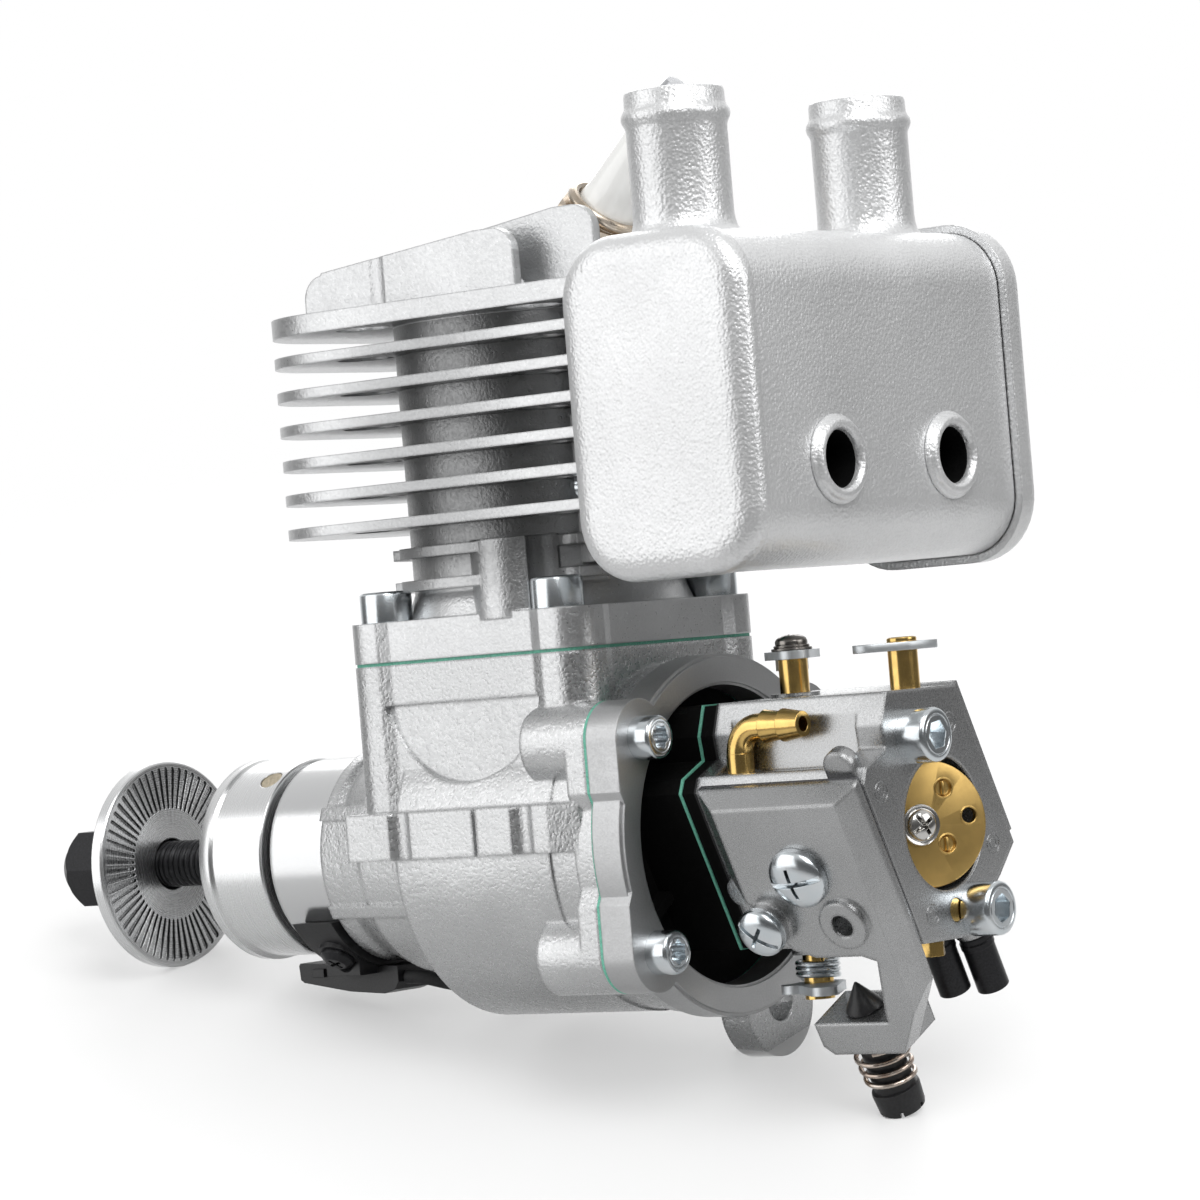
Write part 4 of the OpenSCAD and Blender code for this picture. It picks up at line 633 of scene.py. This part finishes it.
def dome_screw(shank, radius, height, length, slot, cross, turn=0.0):
    """Domed screw along Z with a slot, a cross or both, its head above zero."""
    bow = [(radius * x, height * (0.28 + 0.72 * y)) for x, y in (spot(1, 7.5 * k) for k in range(12))]
    body = Shape().lathe([(0, -length), (shank, -length), (shank, 0), (radius - 0.15, 0), (radius, 0.12), *bow,
                          (0, height)]).mesh("dome screw")
    spin = turned("Z", turn)
    if slot:
        groove = Shape().prism(oblong(-radius - 1, radius + 1, slot / 2), height * 0.52, height + 1, spin)
        body = carved(body, groove.mesh("slot"))
    if cross:
        w = 0.32
        outline = [(cross, w), (w, w), (w, cross), (-w, cross), (-w, w), (-cross, w),
                   (-cross, -w), (-w, -w), (-w, -cross), (w, -cross), (w, -w), (cross, -w)]
        arms = Shape().skin([[spin @ Vector((x * k, y * k, z)) for x, y in outline]
                             for k, z in ((0.55, height * 0.12), (1.1, height + 0.4))])
        body = carved(body, arms.mesh("cross"))
    return body


def screws(name, template, points, seed, place, node):
    """Puts a set of zinc screws in its place on the engine."""
    piece(name, screw_set(name, template, points, "zinc", seed), place, "zinc", "engine", node)


class ENGINE_OT_finishes(bpy.types.Operator):
    """Gives every carried-over piece of the frame its finish"""
    bl_idname = "engine.finishes"
    bl_label = "Finishes"

    def execute(self, context):
        finishes.update(make_finishes(context.scene.engine_finish))
        for finish, nodes in COVERS.items():
            for node in nodes.split():
                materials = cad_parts[node].data.materials
                materials.clear()
                materials.append(finishes[finish])
        return {"FINISHED"}


class ENGINE_OT_propeller_drive(bpy.types.Operator):
    """Builds the hub, the slotted washer and the threaded propeller bolt"""
    bl_idname = "engine.propeller_drive"
    bl_label = "Propeller drive"

    def execute(self, context):
        sizes = context.scene.engine_sizes
        disc = Shape().lathe([(4.35, 0.25), (4.6, 0), (17.5, 0), (17.8, 0.12), (18, 0.4), (18, 2.3), (16.6, 3.5),
                              (4.35, 3.5)], 144, loop=True).mesh("washer")
        slot = [spot(0.5, a, 16.5) for a in range(-90, 91, 30)] + [spot(0.27, a, 9.9) for a in range(90, 271, 30)]
        slots = ring_graph().grow(Shape().prism(slot, -0.5, 0.7).mesh("slot"), Count=sizes.washer_slots,
                                  Material=finishes["turned"])
        piece("serrated washer", carved(disc, slots), moved(WASHER_REAR, 0, 0) @ FORWARD, "turned", "crank",
              "prop_washer")

        hub = Shape().lathe([(6.05, 0), (16.2, 0), (16.5, 0.1), (16.7, 0.3), (16.7, 10.9), (17.25, 11.5),
                             (17.25, 13.2), (16.8, 14), (4.2, 14), (4.2, 10.9), (5.3, 10.9),
                             (6.05, 2)], 160, loop=True).mesh("hub")
        seat = Shape().lathe([(0, -2.3), (2.05, -2.3), (2.05, 3), (0, 3)], 48,
                             at=turned("Z", 56) @ moved(16.7, 0, 2.8) @ FORWARD).mesh("seat")
        piece("propeller hub", carved(hub, seat), moved(HUB_REAR, 0, 0) @ turned("X", 90) @ FORWARD, "turned", "crank",
              "prop_hub")

        core = Shape().lathe([(0, -15), (3.2, -15), (3.5, -14.6), (3.5, 21.9), (4.1, 22.3), (4.1, 25.6), (7.0, 25.6),
                              (7.1, 25.9), (7.1, 26.6), (6.9, 26.9), (0, 26.9)], 64).mesh("bolt core")
        thread = wound("bolt thread", 22, 3.48, 27.5, 0.58, "oxide")
        thread.transform(moved(0, 0, -5.6))
        flats = Shape().prism(polygon(6, 13 / math.sqrt(3), 30), 26.5, 42.0).mesh("bolt head")
        barrel = Shape().lathe([(0, 26.0), (6.6, 26.0), (7.6, 27.2), (7.6, 40.6), (6.4, 42.2), (0, 42.2)])
        head = carved(flats, barrel.mesh("turn"), "INTERSECT")
        boss = Shape().lathe([(2, 43.9), (4.9, 43.9), (5.2, 43.5), (6.1, 41.5), (2, 41.5)], 64, loop=True).mesh("boss")
        piece("propeller bolt", joined("bolt", core, thread, head, boss), moved(HUB_FRONT, 0, 0) @ FORWARD, "oxide",
              "crank", "prop_bolt")
        return {"FINISHED"}


class ENGINE_OT_screws(bpy.types.Operator):
    """Builds every screw with its recess"""
    bl_idname = "engine.screws"
    bl_label = "Screws"

    def execute(self, context):
        ears = [(z, y, 0) for y in (-COVER_SCREW_Y, COVER_SCREW_Y) for z in (-COVER_SCREW_Z, COVER_SCREW_Z)]
        cap = socket_screw(2, 3.5, 4, 14, lobed(2.0, 0.42))
        screws("rear cover screws", cap, ears, 3, REARWARD, "cover_screws")
        big = socket_screw(2.5, 4.25, 5, 17, polygon(6, 2.35))
        corners = [(CYLINDER_X + x, y, BASE_TOP) for x in (-BASE_SCREW_X, BASE_SCREW_X)
                   for y in (-BASE_SCREW_Y, BASE_SCREW_Y)]
        screws("base screws", big.copy(), corners, 5, HERE, "base_screws")
        bolts = [(-CARB_BOLT, 0, 0), (CARB_BOLT, 0, 0)]
        screws("carburettor bolts", big.copy(), bolts, 8, REAR_FACE, "carb_bolts")
        keys = [(KEY_Z, -KEY_Y, 0), (KEY_Z, KEY_Y, 0)]
        screws("muffler screws", big, keys, 2, moved(-4.2, 0, 0) @ REARWARD, "muffler_screws")

        wide = dome_screw(2, 5, 3, 5, 0.85, 2.7)
        wide.transform(on_pump(-27.3, 21.0, 3.6, 4))
        post = dome_screw(2, 4, 2.5, 6, 0.7, 2.1)
        post.transform(on_pump(-18.1, 23.1, -4.6, -38))
        collar = Shape().lathe([(2.1, 0), (3.9, 0), (4.05, 0.15), (4.05, 0.4), (3.9, 0.5), (2.1, 0.5)], 64,
                               loop=True, at=on_pump(-18.1, 22.75, -4.6)).mesh("collar")
        small = dome_screw(1.5, 2.7, 2, 3, 0, 1.5)
        far = screw_set("far screws", small, [(x, v, 0) for x in (-35, -14) for v in (-8.6, 12.4)], "zinc", 4)
        far.transform(LEANED @ moved(0, -18.2, 0) @ turned("X", 90))
        piece("carburettor cover screws", joined("cover screws", wide, post, collar, far), HERE, "zinc", "engine",
              "carb_cover_screws")
        return {"FINISHED"}


class ENGINE_OT_muffler(bpy.types.Operator):
    """Builds the pressed sheet muffler with its lid and tubes"""
    bl_idname = "engine.muffler"
    bl_label = "Muffler"

    def box(self, stations):
        """A box with round corners along the engine's width; a station is (y, inset)."""
        (x0, x1), (z0, z1) = MUFFLER_X, MUFFLER_Z
        return Shape().skin([[Vector((x, y, z)) for x, z in round_box(
            x0 + inset, x1 - inset, z0 + inset, z1 - inset, max(MUFFLER_CORNER - inset, 1.5), 10)]
            for y, inset in stations])

    def execute(self, context):
        shell = self.box([(-32.5, 0), (33.2, 0), (33.35, -0.35), (33.8, -0.6), (35.3, -0.6), (36.3, -0.25),
                          (37.1, 0.55), (37.65, 1.7), (37.93, 3.0), (38, 4.2)]).mesh("muffler shell")
        shell = carved(shell, self.box([(-36, 1.2), (35.6, 1.2)]).mesh("inside"))
        holes = Shape()
        outlets = [moved(OUTLET_X, side * OUTLET_Y, 0) for side in (-1, 1)]
        keys = [moved(0, side * KEY_Y, KEY_Z) @ FORWARD for side in (-1, 1)]
        for outlet, key in zip(outlets, keys):
            holes.lathe([(6.0, -40), (6.0, -34)], 48, at=key)
            holes.lathe([(6.9, 88), (6.9, 98)], 48, at=outlet)
        piece("muffler shell", carved(shell, holes.mesh("holes")), HERE, "paint", "engine", "muffler_shell")

        lid = self.box([(-32.7, -1.4), (-35.4, -1.4), (-36.5, -1.15), (-37.4, -0.4), (-37.85, 0.6), (-38, 1.8)])
        lid = carved(lid.mesh("muffler lid"), self.box([(-30, -0.05), (-36.3, -0.05)]).mesh("inside"))
        piece("muffler lid", lid, HERE, "paint", "engine", "muffler_lid")

        tubes, bore_shade = Shape(), Shape()
        for outlet, key in zip(outlets, keys):
            tubes.lathe([(6.85, 90.5), (7.85, 90.5), (7.85, 93.0), (9.3, 93.35), (8.8, 93.75), (8.25, 94.5),
                         (7.95, 95.6), (7.85, 97), (7.85, 110.1), (8.0, 110.7), (8.35, 111.3), (8.5, 111.9),
                         (8.4, 112.5), (8.05, 113.1), (7.85, 113.6), (7.8, 115.4), (7.65, 115.9), (7.3, 116.1),
                         (6.95, 115.9), (6.85, 115.4)], 80, loop=True, at=outlet)
            tubes.lathe([(4.5, -4.3), (6.15, -4.3), (6.15, -36.8), (7.0, -37.1), (6.9, -37.5), (6.45, -37.8),
                         (6.3, -38.2), (6.1, -38.45), (5.7, -38.6), (5.1, -38.55), (4.7, -38.2), (4.5, -37.6)],
                        64, loop=True, at=key)
            # Thin matt black sleeves inside the access tubes: painted shade for the deep bores.
            bore_shade.lathe([(4.36, -4.35), (4.52, -4.35), (4.52, -37.2), (4.36, -37.2)], 64, loop=True, at=key)
        piece("muffler tubes", tubes.mesh("tubes"), HERE, "paint", "engine", "muffler_tubes")
        piece("tube linings", bore_shade.mesh("linings"), HERE, "black and bore shade", "engine")
        return {"FINISHED"}


class ENGINE_OT_spark_plug(bpy.types.Operator):
    """Builds the spark plug's shell and insulator"""
    bl_idname = "engine.spark_plug"
    bl_label = "Spark plug"

    def execute(self, context):
        seat = 12.7
        place = moved(30, 0, 85.9) @ turned("Y", -42) @ moved(0, 0, seat)
        flats = Shape().prism(polygon(6, 14 / math.sqrt(3)), 1.3, 7.8).mesh("hexagon")
        barrel = Shape().lathe([(0, 1.2), (7.3, 1.2), (8.2, 1.9), (8.2, 7.0), (7.2, 8.0), (0, 8.0)]).mesh("turn")
        bore = Shape().lathe([(5.25, 2), (5.25, 12)], 64).mesh("bore")
        flats = carved(carved(flats, barrel, "INTERSECT"), bore)
        rings = Shape()
        rings.lathe([(3.5, 1.2 - seat), (5, 1.2 - seat), (5, 1.5), (3.5, 1.5)], 48, loop=True)
        rings.lathe([(5.1, 0), (6.9, 0), (7.2, 0.3), (7.2, 0.6), (6.9, 0.9), (5.1, 0.9)], 64, loop=True)
        rings.lathe([(4.8, 0.8), (6.6, 0.8), (6.6, 1.6), (4.8, 1.6)], 64, loop=True)
        rings.lathe([(5.25, 7.0), (6.1, 7.0), (6.2, 7.9), (6.45, 8.2), (6.85, 8.6), (7.0, 9.0), (6.9, 9.5), (6.5, 9.95),
                     (6.0, 10.05), (5.5, 9.8), (5.25, 9.3)], loop=True)
        piece("plug shell", joined("plug shell", flats, rings.mesh("rings")), place, "nickel", "engine", "plug_shell")
        cone = Shape().lathe([(1.2, 2 - seat), (3.3, 2 - seat), (3.3, 7), (5.05, 7.7), (5.1, 9.6), (5.0, 10.3),
                              (4.75, 11.2), (4.5, 12.6), (3.25, 26.4), (3.0, 27.0), (2.6, 27.3), (1.2, 27.3)],
                             loop=True)
        piece("plug insulator", cone.mesh("insulator"), place, "ceramic", "engine", "plug_insulator")
        return {"FINISHED"}


class ENGINE_OT_choke(bpy.types.Operator):
    """Builds the choke's disc with its pressed dimples, its screw, its lever and its shaft's tip"""
    bl_idname = "engine.choke"
    bl_label = "Choke"

    def execute(self, context):
        axis, thickness = moved(*CHOKE_XY, 0), 1.1
        place = axis @ turned("Z", -30) @ moved(-thickness, 0, 0)
        disc = Shape().lathe([(0, 0), (9.6, 0), (9.85, 0.12), (9.95, 0.4), (9.95, 0.8), (9.8, 1.05),
                              (9.5, thickness), (0, thickness)], 120, at=moved(0, -1.5, 0) @ FORWARD).mesh("disc")
        cuts = Shape()
        cuts.lathe([(1.2, -1), (1.2, 3)], 40, at=moved(0, -8.5, 0.8) @ FORWARD)
        cuts.lathe([(1.25, -1), (1.25, 3)], 40, at=FORWARD)
        rims = Shape()
        dimple_y, dimples = -4.5, (-3.3, 5.4)
        for y, z, r in (*[(dimple_y, z, 1.5) for z in dimples], (-8.5, 0.8, 1.35)):
            rims.tube([(0.02, y + u, z + w) for u, w in polygon(40, r)], 0.13, 8, loop=True)
        for z in dimples:
            cuts.skin([[(x, dimple_y + u, z + w) for u, w in polygon(40, r)]
                       for x, r in ((-1, 1.42), (0.1, 1.38), (0.45, 1.1))])
            rims.tube([(x, dimple_y, z + w) for x, w in ((0.42, -0.95), (0.3, -0.6), (0.3, 0.6), (0.42, 0.95))],
                      0.34, 16)
        piece("choke disc", joined("choke disc", carved(disc, cuts.mesh("cuts")), rims.mesh("rims")), place,
              "brass sheet", "choke", "choke_plate")
        rim = Shape().lathe([(2.3, 0), (3.1, 0), (3.25, 0.15), (3.25, 0.45), (3.1, 0.6), (2.85, 0.5), (2.3, 0.5)], 64,
                            loop=True).mesh("rim")
        screw = dome_screw(1.1, 2.55, 1.7, 2.2, 0, 2.2, 34)
        piece("choke screw", joined("choke screw", screw, rim), place @ moved(-0.05, 0, 0) @ REARWARD, "chrome",
              "choke", "choke_screw")
        outline = lever_outline(3.9, (0, 5.3, 2.8), (180, 3.6, 2.2))
        plate = Shape().prism(outline, 27.2, 28.5).soften(0.12).mesh("choke lever")
        holes = Shape().prism(polygon(40, 2.36), 26, 30).prism(polygon(24, 1.1), 26, 30, moved(5.3, 0, 0))
        piece("choke lever", carved(plate, holes.mesh("holes")), axis @ turned("Z", 58), "lever",
              "choke", "choke_lever")
        tip = Shape().lathe([(0, 28.4), (2.3, 28.4), (2.35, 28.9), (2.3, 29.15), (1.9, 29.3), (1.5, 29.3), (1.3, 29.1),
                             (0, 29.1)], 48)
        piece("choke shaft tip", tip.mesh("tip"), axis, "brass", "choke")
        return {"FINISHED"}


class ENGINE_OT_throttle(bpy.types.Operator):
    """Builds the screws on the throttle shaft"""
    bl_idname = "engine.throttle"
    bl_label = "Throttle"

    def execute(self, context):
        stack = Shape().lathe([(1.3, 28.5), (3.2, 28.5), (3.3, 28.7), (3.2, 28.95), (1.3, 28.95)], 56, loop=True)
        stack.lathe([(1.3, 28.95), (2.8, 28.95), (2.9, 29.15), (2.8, 29.4), (1.3, 29.4)], 56, loop=True)
        head = dome_screw(1.25, 2.6, 1.7, 6, 0.45, 1.6, 24)
        head.transform(moved(0, 0, 29.4))
        inner = dome_screw(1, 1.8, 1.1, 2.2, 0.35, 0)
        inner.transform(turned("Z", -20) @ moved(0.8, 0, 0) @ FORWARD)
        piece("throttle screws", joined("throttle screws", stack.mesh("washers"), head, inner), moved(THROTTLE_X, 0, 0),
              "gunmetal", "throttle", "throttle_screws")
        return {"FINISHED"}


class ENGINE_OT_cast_marks(bpy.types.Operator):
    """Adds a lug and the round marks of the die to the carburettor's body"""
    bl_idname = "engine.cast_marks"
    bl_label = "Cast marks"

    def execute(self, context):
        mark = Shape().lathe([(1.5, -0.2), (1.5, 0.06), (1.6, 0.1), (1.72, 0.06), (1.75, -0.2)], 48, loop=True)
        mark.lathe([(0.72, -0.2), (0.72, 0.04), (0.82, 0.07), (0.95, 0.04), (0.95, -0.2)], 32, loop=True)
        spots = [(v, h, 0) for h, v in ((11.6, 12.3), (-10.2, 12.2), (-9.9, -9.5), (10.4, -10.3))]
        marks = screw_set("cast marks", mark.mesh("mark"), spots, "carburettor", 1)
        arch = [(-34.2, 14)] + [spot(2.7, 15 * k, -36.9, 18.6) for k in range(13)] + [(-39.6, 14)]
        lug = Shape().prism(arch, -15.0, -12.4).soften(0.35)
        piece("body lug", lug.mesh("lug"), LEANED @ turned("X", 90), "carburettor", "engine")
        piece("cast marks", marks, REAR_FACE, "carburettor", "engine")
        return {"FINISHED"}


class ENGINE_OT_springs(bpy.types.Operator):
    """Builds the idle screw and winds its spring and the throttle's"""
    bl_idname = "engine.springs"
    bl_label = "Springs"

    def execute(self, context):
        sizes = context.scene.engine_sizes
        coil = wound("idle spring", sizes.idle_turns, 3.85, 7.4, sizes.idle_wire / MM / 2, "spring", 4.25)
        piece("idle spring", coil, LEANED @ moved(*IDLE_XY, -36.4), "spring", "engine", "idle_spring")
        cap = Shape().lathe([(2.3, -38.6), (2.3, -41.2), (3.3, -41.3), (3.6, -41.1), (3.75, -40.6), (3.95, -37.6),
                             (3.85, -37.1), (3.4, -36.95), (3.3, -36.9), (3.2, -29.0), (3.0, -28.8), (1.8, -28.7),
                             (1.8, -23.1), (2.95, -22.9), (3.05, -22.6), (2.75, -21.9), (1.9, -20.7), (1.1, -19.5),
                             (0.5, -18.6), (0.2, -18.2), (0, -18.1), (0, -38.6)]).mesh("idle screw")
        notch = Shape().prism(oblong(2.0, 5, 0.28), -42, -40.3).mesh("notch")
        notches = ring_graph().grow(notch, Count=6, Material=finishes["plastic"])
        piece("idle screw", carved(cap, notches), LEANED @ moved(*IDLE_XY, 0), "plastic", "idle_adjuster", "idle_screw")
        coil = wound("return spring", 3.6, 3.2, 3.1, 0.42, "zinc")
        hook = Shape().tube([(3.2, 0, -0.05), (3.1005, -0.7917, -0.05), (3.6, -2.6, -0.1), (4.6, -4.2, -0.2),
                             (5.6, -4.9, -0.9), (6.4, -4.6, -1.7)], 0.42)
        piece("return spring", joined("return spring", coil, hook.mesh("hook")), moved(THROTTLE_X, 0, -23.3), "zinc",
              "engine", "return_spring")
        return {"FINISHED"}


def smooth_path(points, step):
    """Points about one step apart on a smooth line through given points."""
    points = [Vector(p) for p in points]
    ends = [2 * points[0] - points[1], *points, 2 * points[-1] - points[-2]]
    line = []
    for a, b, c, d in zip(ends, ends[1:], ends[2:], ends[3:]):
        count = max(1, round((c - b).length / step))
        for k in range(count):
            t = k / count
            line.append(0.5 * (2 * b + (c - a) * t + (2 * a - 5 * b + 4 * c - d) * t ** 2
                               + (3 * b - a - 3 * c + d) * t ** 3))
    return line + [points[-1]]


class ENGINE_OT_sensor_lead(bpy.types.Operator):
    """Lays the sensor's lead along the floor and coils the rest of it"""
    bl_idname = "engine.sensor_lead"
    bl_label = "Sensor lead"

    def execute(self, context):
        diameter = context.scene.engine_sizes.lead_diameter
        run = [(69.6, 2.4, -20.9), (68.6, 2.2, -20.9), (66.5, 1.4, -21.1), (62.5, -1.6, -22.6), (59, -7, -23.8),
               (56.5, -13, -24), (55, -19, -23), (54.5, -25.5, -22), (54.6, -31.5, -20.9), (55.8, -37, -19.6),
               (57.4, -42, -18.1), (59, -47.5, -16.5), (59.9, -53, -15.2)]
        lay = moved(71.5, -65.5, -8.7) @ turned("Y", -10.3) @ turned("X", -13.9)
        pitch, step = 2.5, 16
        rings = [lay @ Vector((*spot(13, 152 + step * k), -1.15 + pitch * step * k / 360)) for k in range(51)]
        inside = [lay @ Vector(p) for p in ((8.2, -6.2, 4.0), (8.6, -1.2, 2.2), (6.2, 0, -0.4), (3.4, 0, -1.1))]
        line = smooth_path([*run, *rings, *inside], 1.5)
        cord = Shape().tube(line, diameter / MM / 2, 14).mesh("lead")
        made = piece("sensor lead", cord, HERE, "rubber", "engine", "sensor_lead", "lead_coil")
        length = sum((b - a).length for a, b in zip(line, line[1:])) * MM
        shell = Shape().prism(round_box(-9.8, 3.2, -3.8, 3.8, 0.6, 3), -2.4, 0.2).soften(0.25)
        for y in (-2.54, 0, 2.54):
            shell.prism(round_box(-9.0, -3.2, y - 0.7, y + 0.7, 0.2, 2), 0.1, 0.45)
        plug = piece("lead plug", shell.mesh("plug"), lay, "plastic", "engine", "lead_plug")
        path = [list(p * MM) for p in line]
        return {"FINISHED"}


def floor_height(x, y):
    """The plane that the washer, the idle cap and the lug rest on, in millimetres."""
    return -40.8 + 0.1825 * x - 0.251 * y


def build_floor():
    """White paper that fades out around the engine and lets a camera below look through."""
    mesh = bpy.data.meshes.new("floor")
    reach = 3000
    corners = [(-reach, -reach), (reach, -reach), (reach, reach), (-reach, reach)]
    mesh.from_pydata([mm(x, y, floor_height(x, y)) for x, y in corners], [], [(0, 1, 2, 3)])
    floor = put("floor", mesh)
    paper = Finish("floor paper", (0.93, 0.93, 0.93), 0.55)
    under = paper.value("ShaderNodeNewGeometry", {}, {}, "Backfacing")
    clear = paper.value("ShaderNodeBsdfTransparent", {}, {})
    distance = paper.value("ShaderNodeVectorMath", {"operation": "LENGTH"}, {0: paper.place()}, "Value")
    fade = distance.step(0.16, 0.42, 0.44, 1.0)
    blend = {0: under * (1 - fade) + fade, 1: paper.shader.outputs[0], 2: clear}
    paper.feed(paper.output.inputs["Surface"], paper.value("ShaderNodeMixShader", {}, blend))
    mesh.materials.append(paper.material)


def build_world(scene):
    """A soft studio; the camera sees plain white, and so do reflections of what lies behind the engine."""
    world = bpy.data.worlds.new("studio")
    scene.world = world
    sky = Tree(shader_of(world))
    toward = sky.node("ShaderNodeTexCoord", {}, {}).outputs["Generated"]
    height = sky.value("ShaderNodeSeparateXYZ", {}, {0: toward}, "Z")
    level = height.step(-1, 0, 0.30, 0.16) + height.step(0, 0.24, 0, 0.10)
    level = level + height.step(0.24, 0.56, 0, 0.69) + height.step(0.56, 1, 0, 0.05)
    view = (0.62, -0.78, 0.05)
    behind = sky.value("ShaderNodeVectorMath", {"operation": "DOT_PRODUCT"}, {0: toward, 1: view}, "Value")
    rays = sky.node("ShaderNodeLightPath", {}, {}).outputs
    mirrored = (Value(sky, rays["Is Glossy Ray"]) + rays["Is Transmission Ray"]).step(0, 1)
    mirrored = mirrored * behind.step(0.6, 0.95)
    soft = sky.value("ShaderNodeBackground", {}, {
        "Color": (1, 1, 1, 1), "Strength": level * behind.step(-0.2, 0.7, 0.62, 0.85)})
    white = sky.value("ShaderNodeBackground", {}, {"Color": (1, 1, 1, 1), "Strength": 1.0})
    shown = sky.value("ShaderNodeMixShader", {}, {0: mirrored + rays["Is Camera Ray"], 1: soft, 2: white})
    sky.node("ShaderNodeOutputWorld", {}, {"Surface": shown})


def build_lamps():
    """Four soft lamps, each (name, place in millimetres, size in metres, watts)."""
    aim = mm(25, 0, 35)
    for name, at, size, power in (
            ("key", (-500, 350, 620), 0.55, 4.2), ("left", (430, 620, 170), 0.75, 2.5),
            ("back", (400, -500, 520), 0.5, 1.4), ("right", (-650, -150, 260), 0.35, 0.9)):
        lamp = bpy.data.lights.new(name, "AREA")
        lamp.shape, lamp.size, lamp.energy = "SQUARE", size, power
        stand = put(name, lamp)
        stand.location = mm(*at)
        stand.rotation_euler = (aim - stand.location).to_track_quat("-Z", "Y").to_euler()


def build_camera(scene):
    """The camera that the photograph was measured with."""
    azimuth, elevation = math.radians(51.5), math.radians(-0.6)
    away = Vector((-math.cos(azimuth) * math.cos(elevation), math.sin(azimuth) * math.cos(elevation),
                   math.sin(elevation)))
    focal, frame_width = 5050, 1200  # pixels
    lens = bpy.data.cameras.new("camera")
    lens.lens, lens.sensor_width, lens.sensor_fit = focal / frame_width * 36, 36, "HORIZONTAL"
    lens.clip_start, lens.clip_end = 0.05, 20
    camera = put("camera", lens)
    turn = away.to_track_quat("Z", "Y").to_matrix().to_4x4() @ turned("Z", -4.72)
    camera.matrix_world = moved(*mm(-487.9, 643.0, 30.6)) @ turn
    scene.camera = camera


class ENGINE_OT_stage(bpy.types.Operator):
    """Builds the floor, the lamps, the world and the camera"""
    bl_idname = "engine.stage"
    bl_label = "Stage"

    def execute(self, context):
        build_floor()
        build_world(context.scene)
        build_lamps()
        build_camera(context.scene)
        context.scene.view_settings.view_transform = "Standard"
        return {"FINISHED"}


class ENGINE_PT_builder(bpy.types.Panel):
    """Lists the steps that build the engine"""
    bl_idname = "ENGINE_PT_builder"
    bl_label = "Model Aircraft Engine"
    bl_space_type = "VIEW_3D"
    bl_region_type = "UI"
    bl_category = "Engine"

    def draw(self, context):
        for group in (context.scene.engine_finish, context.scene.engine_sizes):
            for name in group.__annotations__:
                self.layout.prop(group, name)
        for step in STEPS:
            self.layout.operator(step.bl_idname)


STEPS = (ENGINE_OT_finishes, ENGINE_OT_propeller_drive, ENGINE_OT_screws, ENGINE_OT_muffler, ENGINE_OT_spark_plug,
         ENGINE_OT_choke, ENGINE_OT_throttle, ENGINE_OT_cast_marks, ENGINE_OT_springs, ENGINE_OT_sensor_lead,
         ENGINE_OT_stage)
CLASSES = (EngineFinish, EngineSizes, *STEPS, ENGINE_PT_builder)


def register():
    for cls in CLASSES:
        bpy.utils.register_class(cls)
    bpy.types.Scene.engine_finish = bpy.props.PointerProperty(type=EngineFinish)
    bpy.types.Scene.engine_sizes = bpy.props.PointerProperty(type=EngineSizes)


def unregister():
    del bpy.types.Scene.engine_sizes
    del bpy.types.Scene.engine_finish
    for cls in reversed(CLASSES):
        bpy.utils.unregister_class(cls)


def main():
    register()
    for step in STEPS:
        group, name = step.bl_idname.split(".")
        getattr(getattr(bpy.ops, group), name)()


if __name__ == "__main__":
    main()
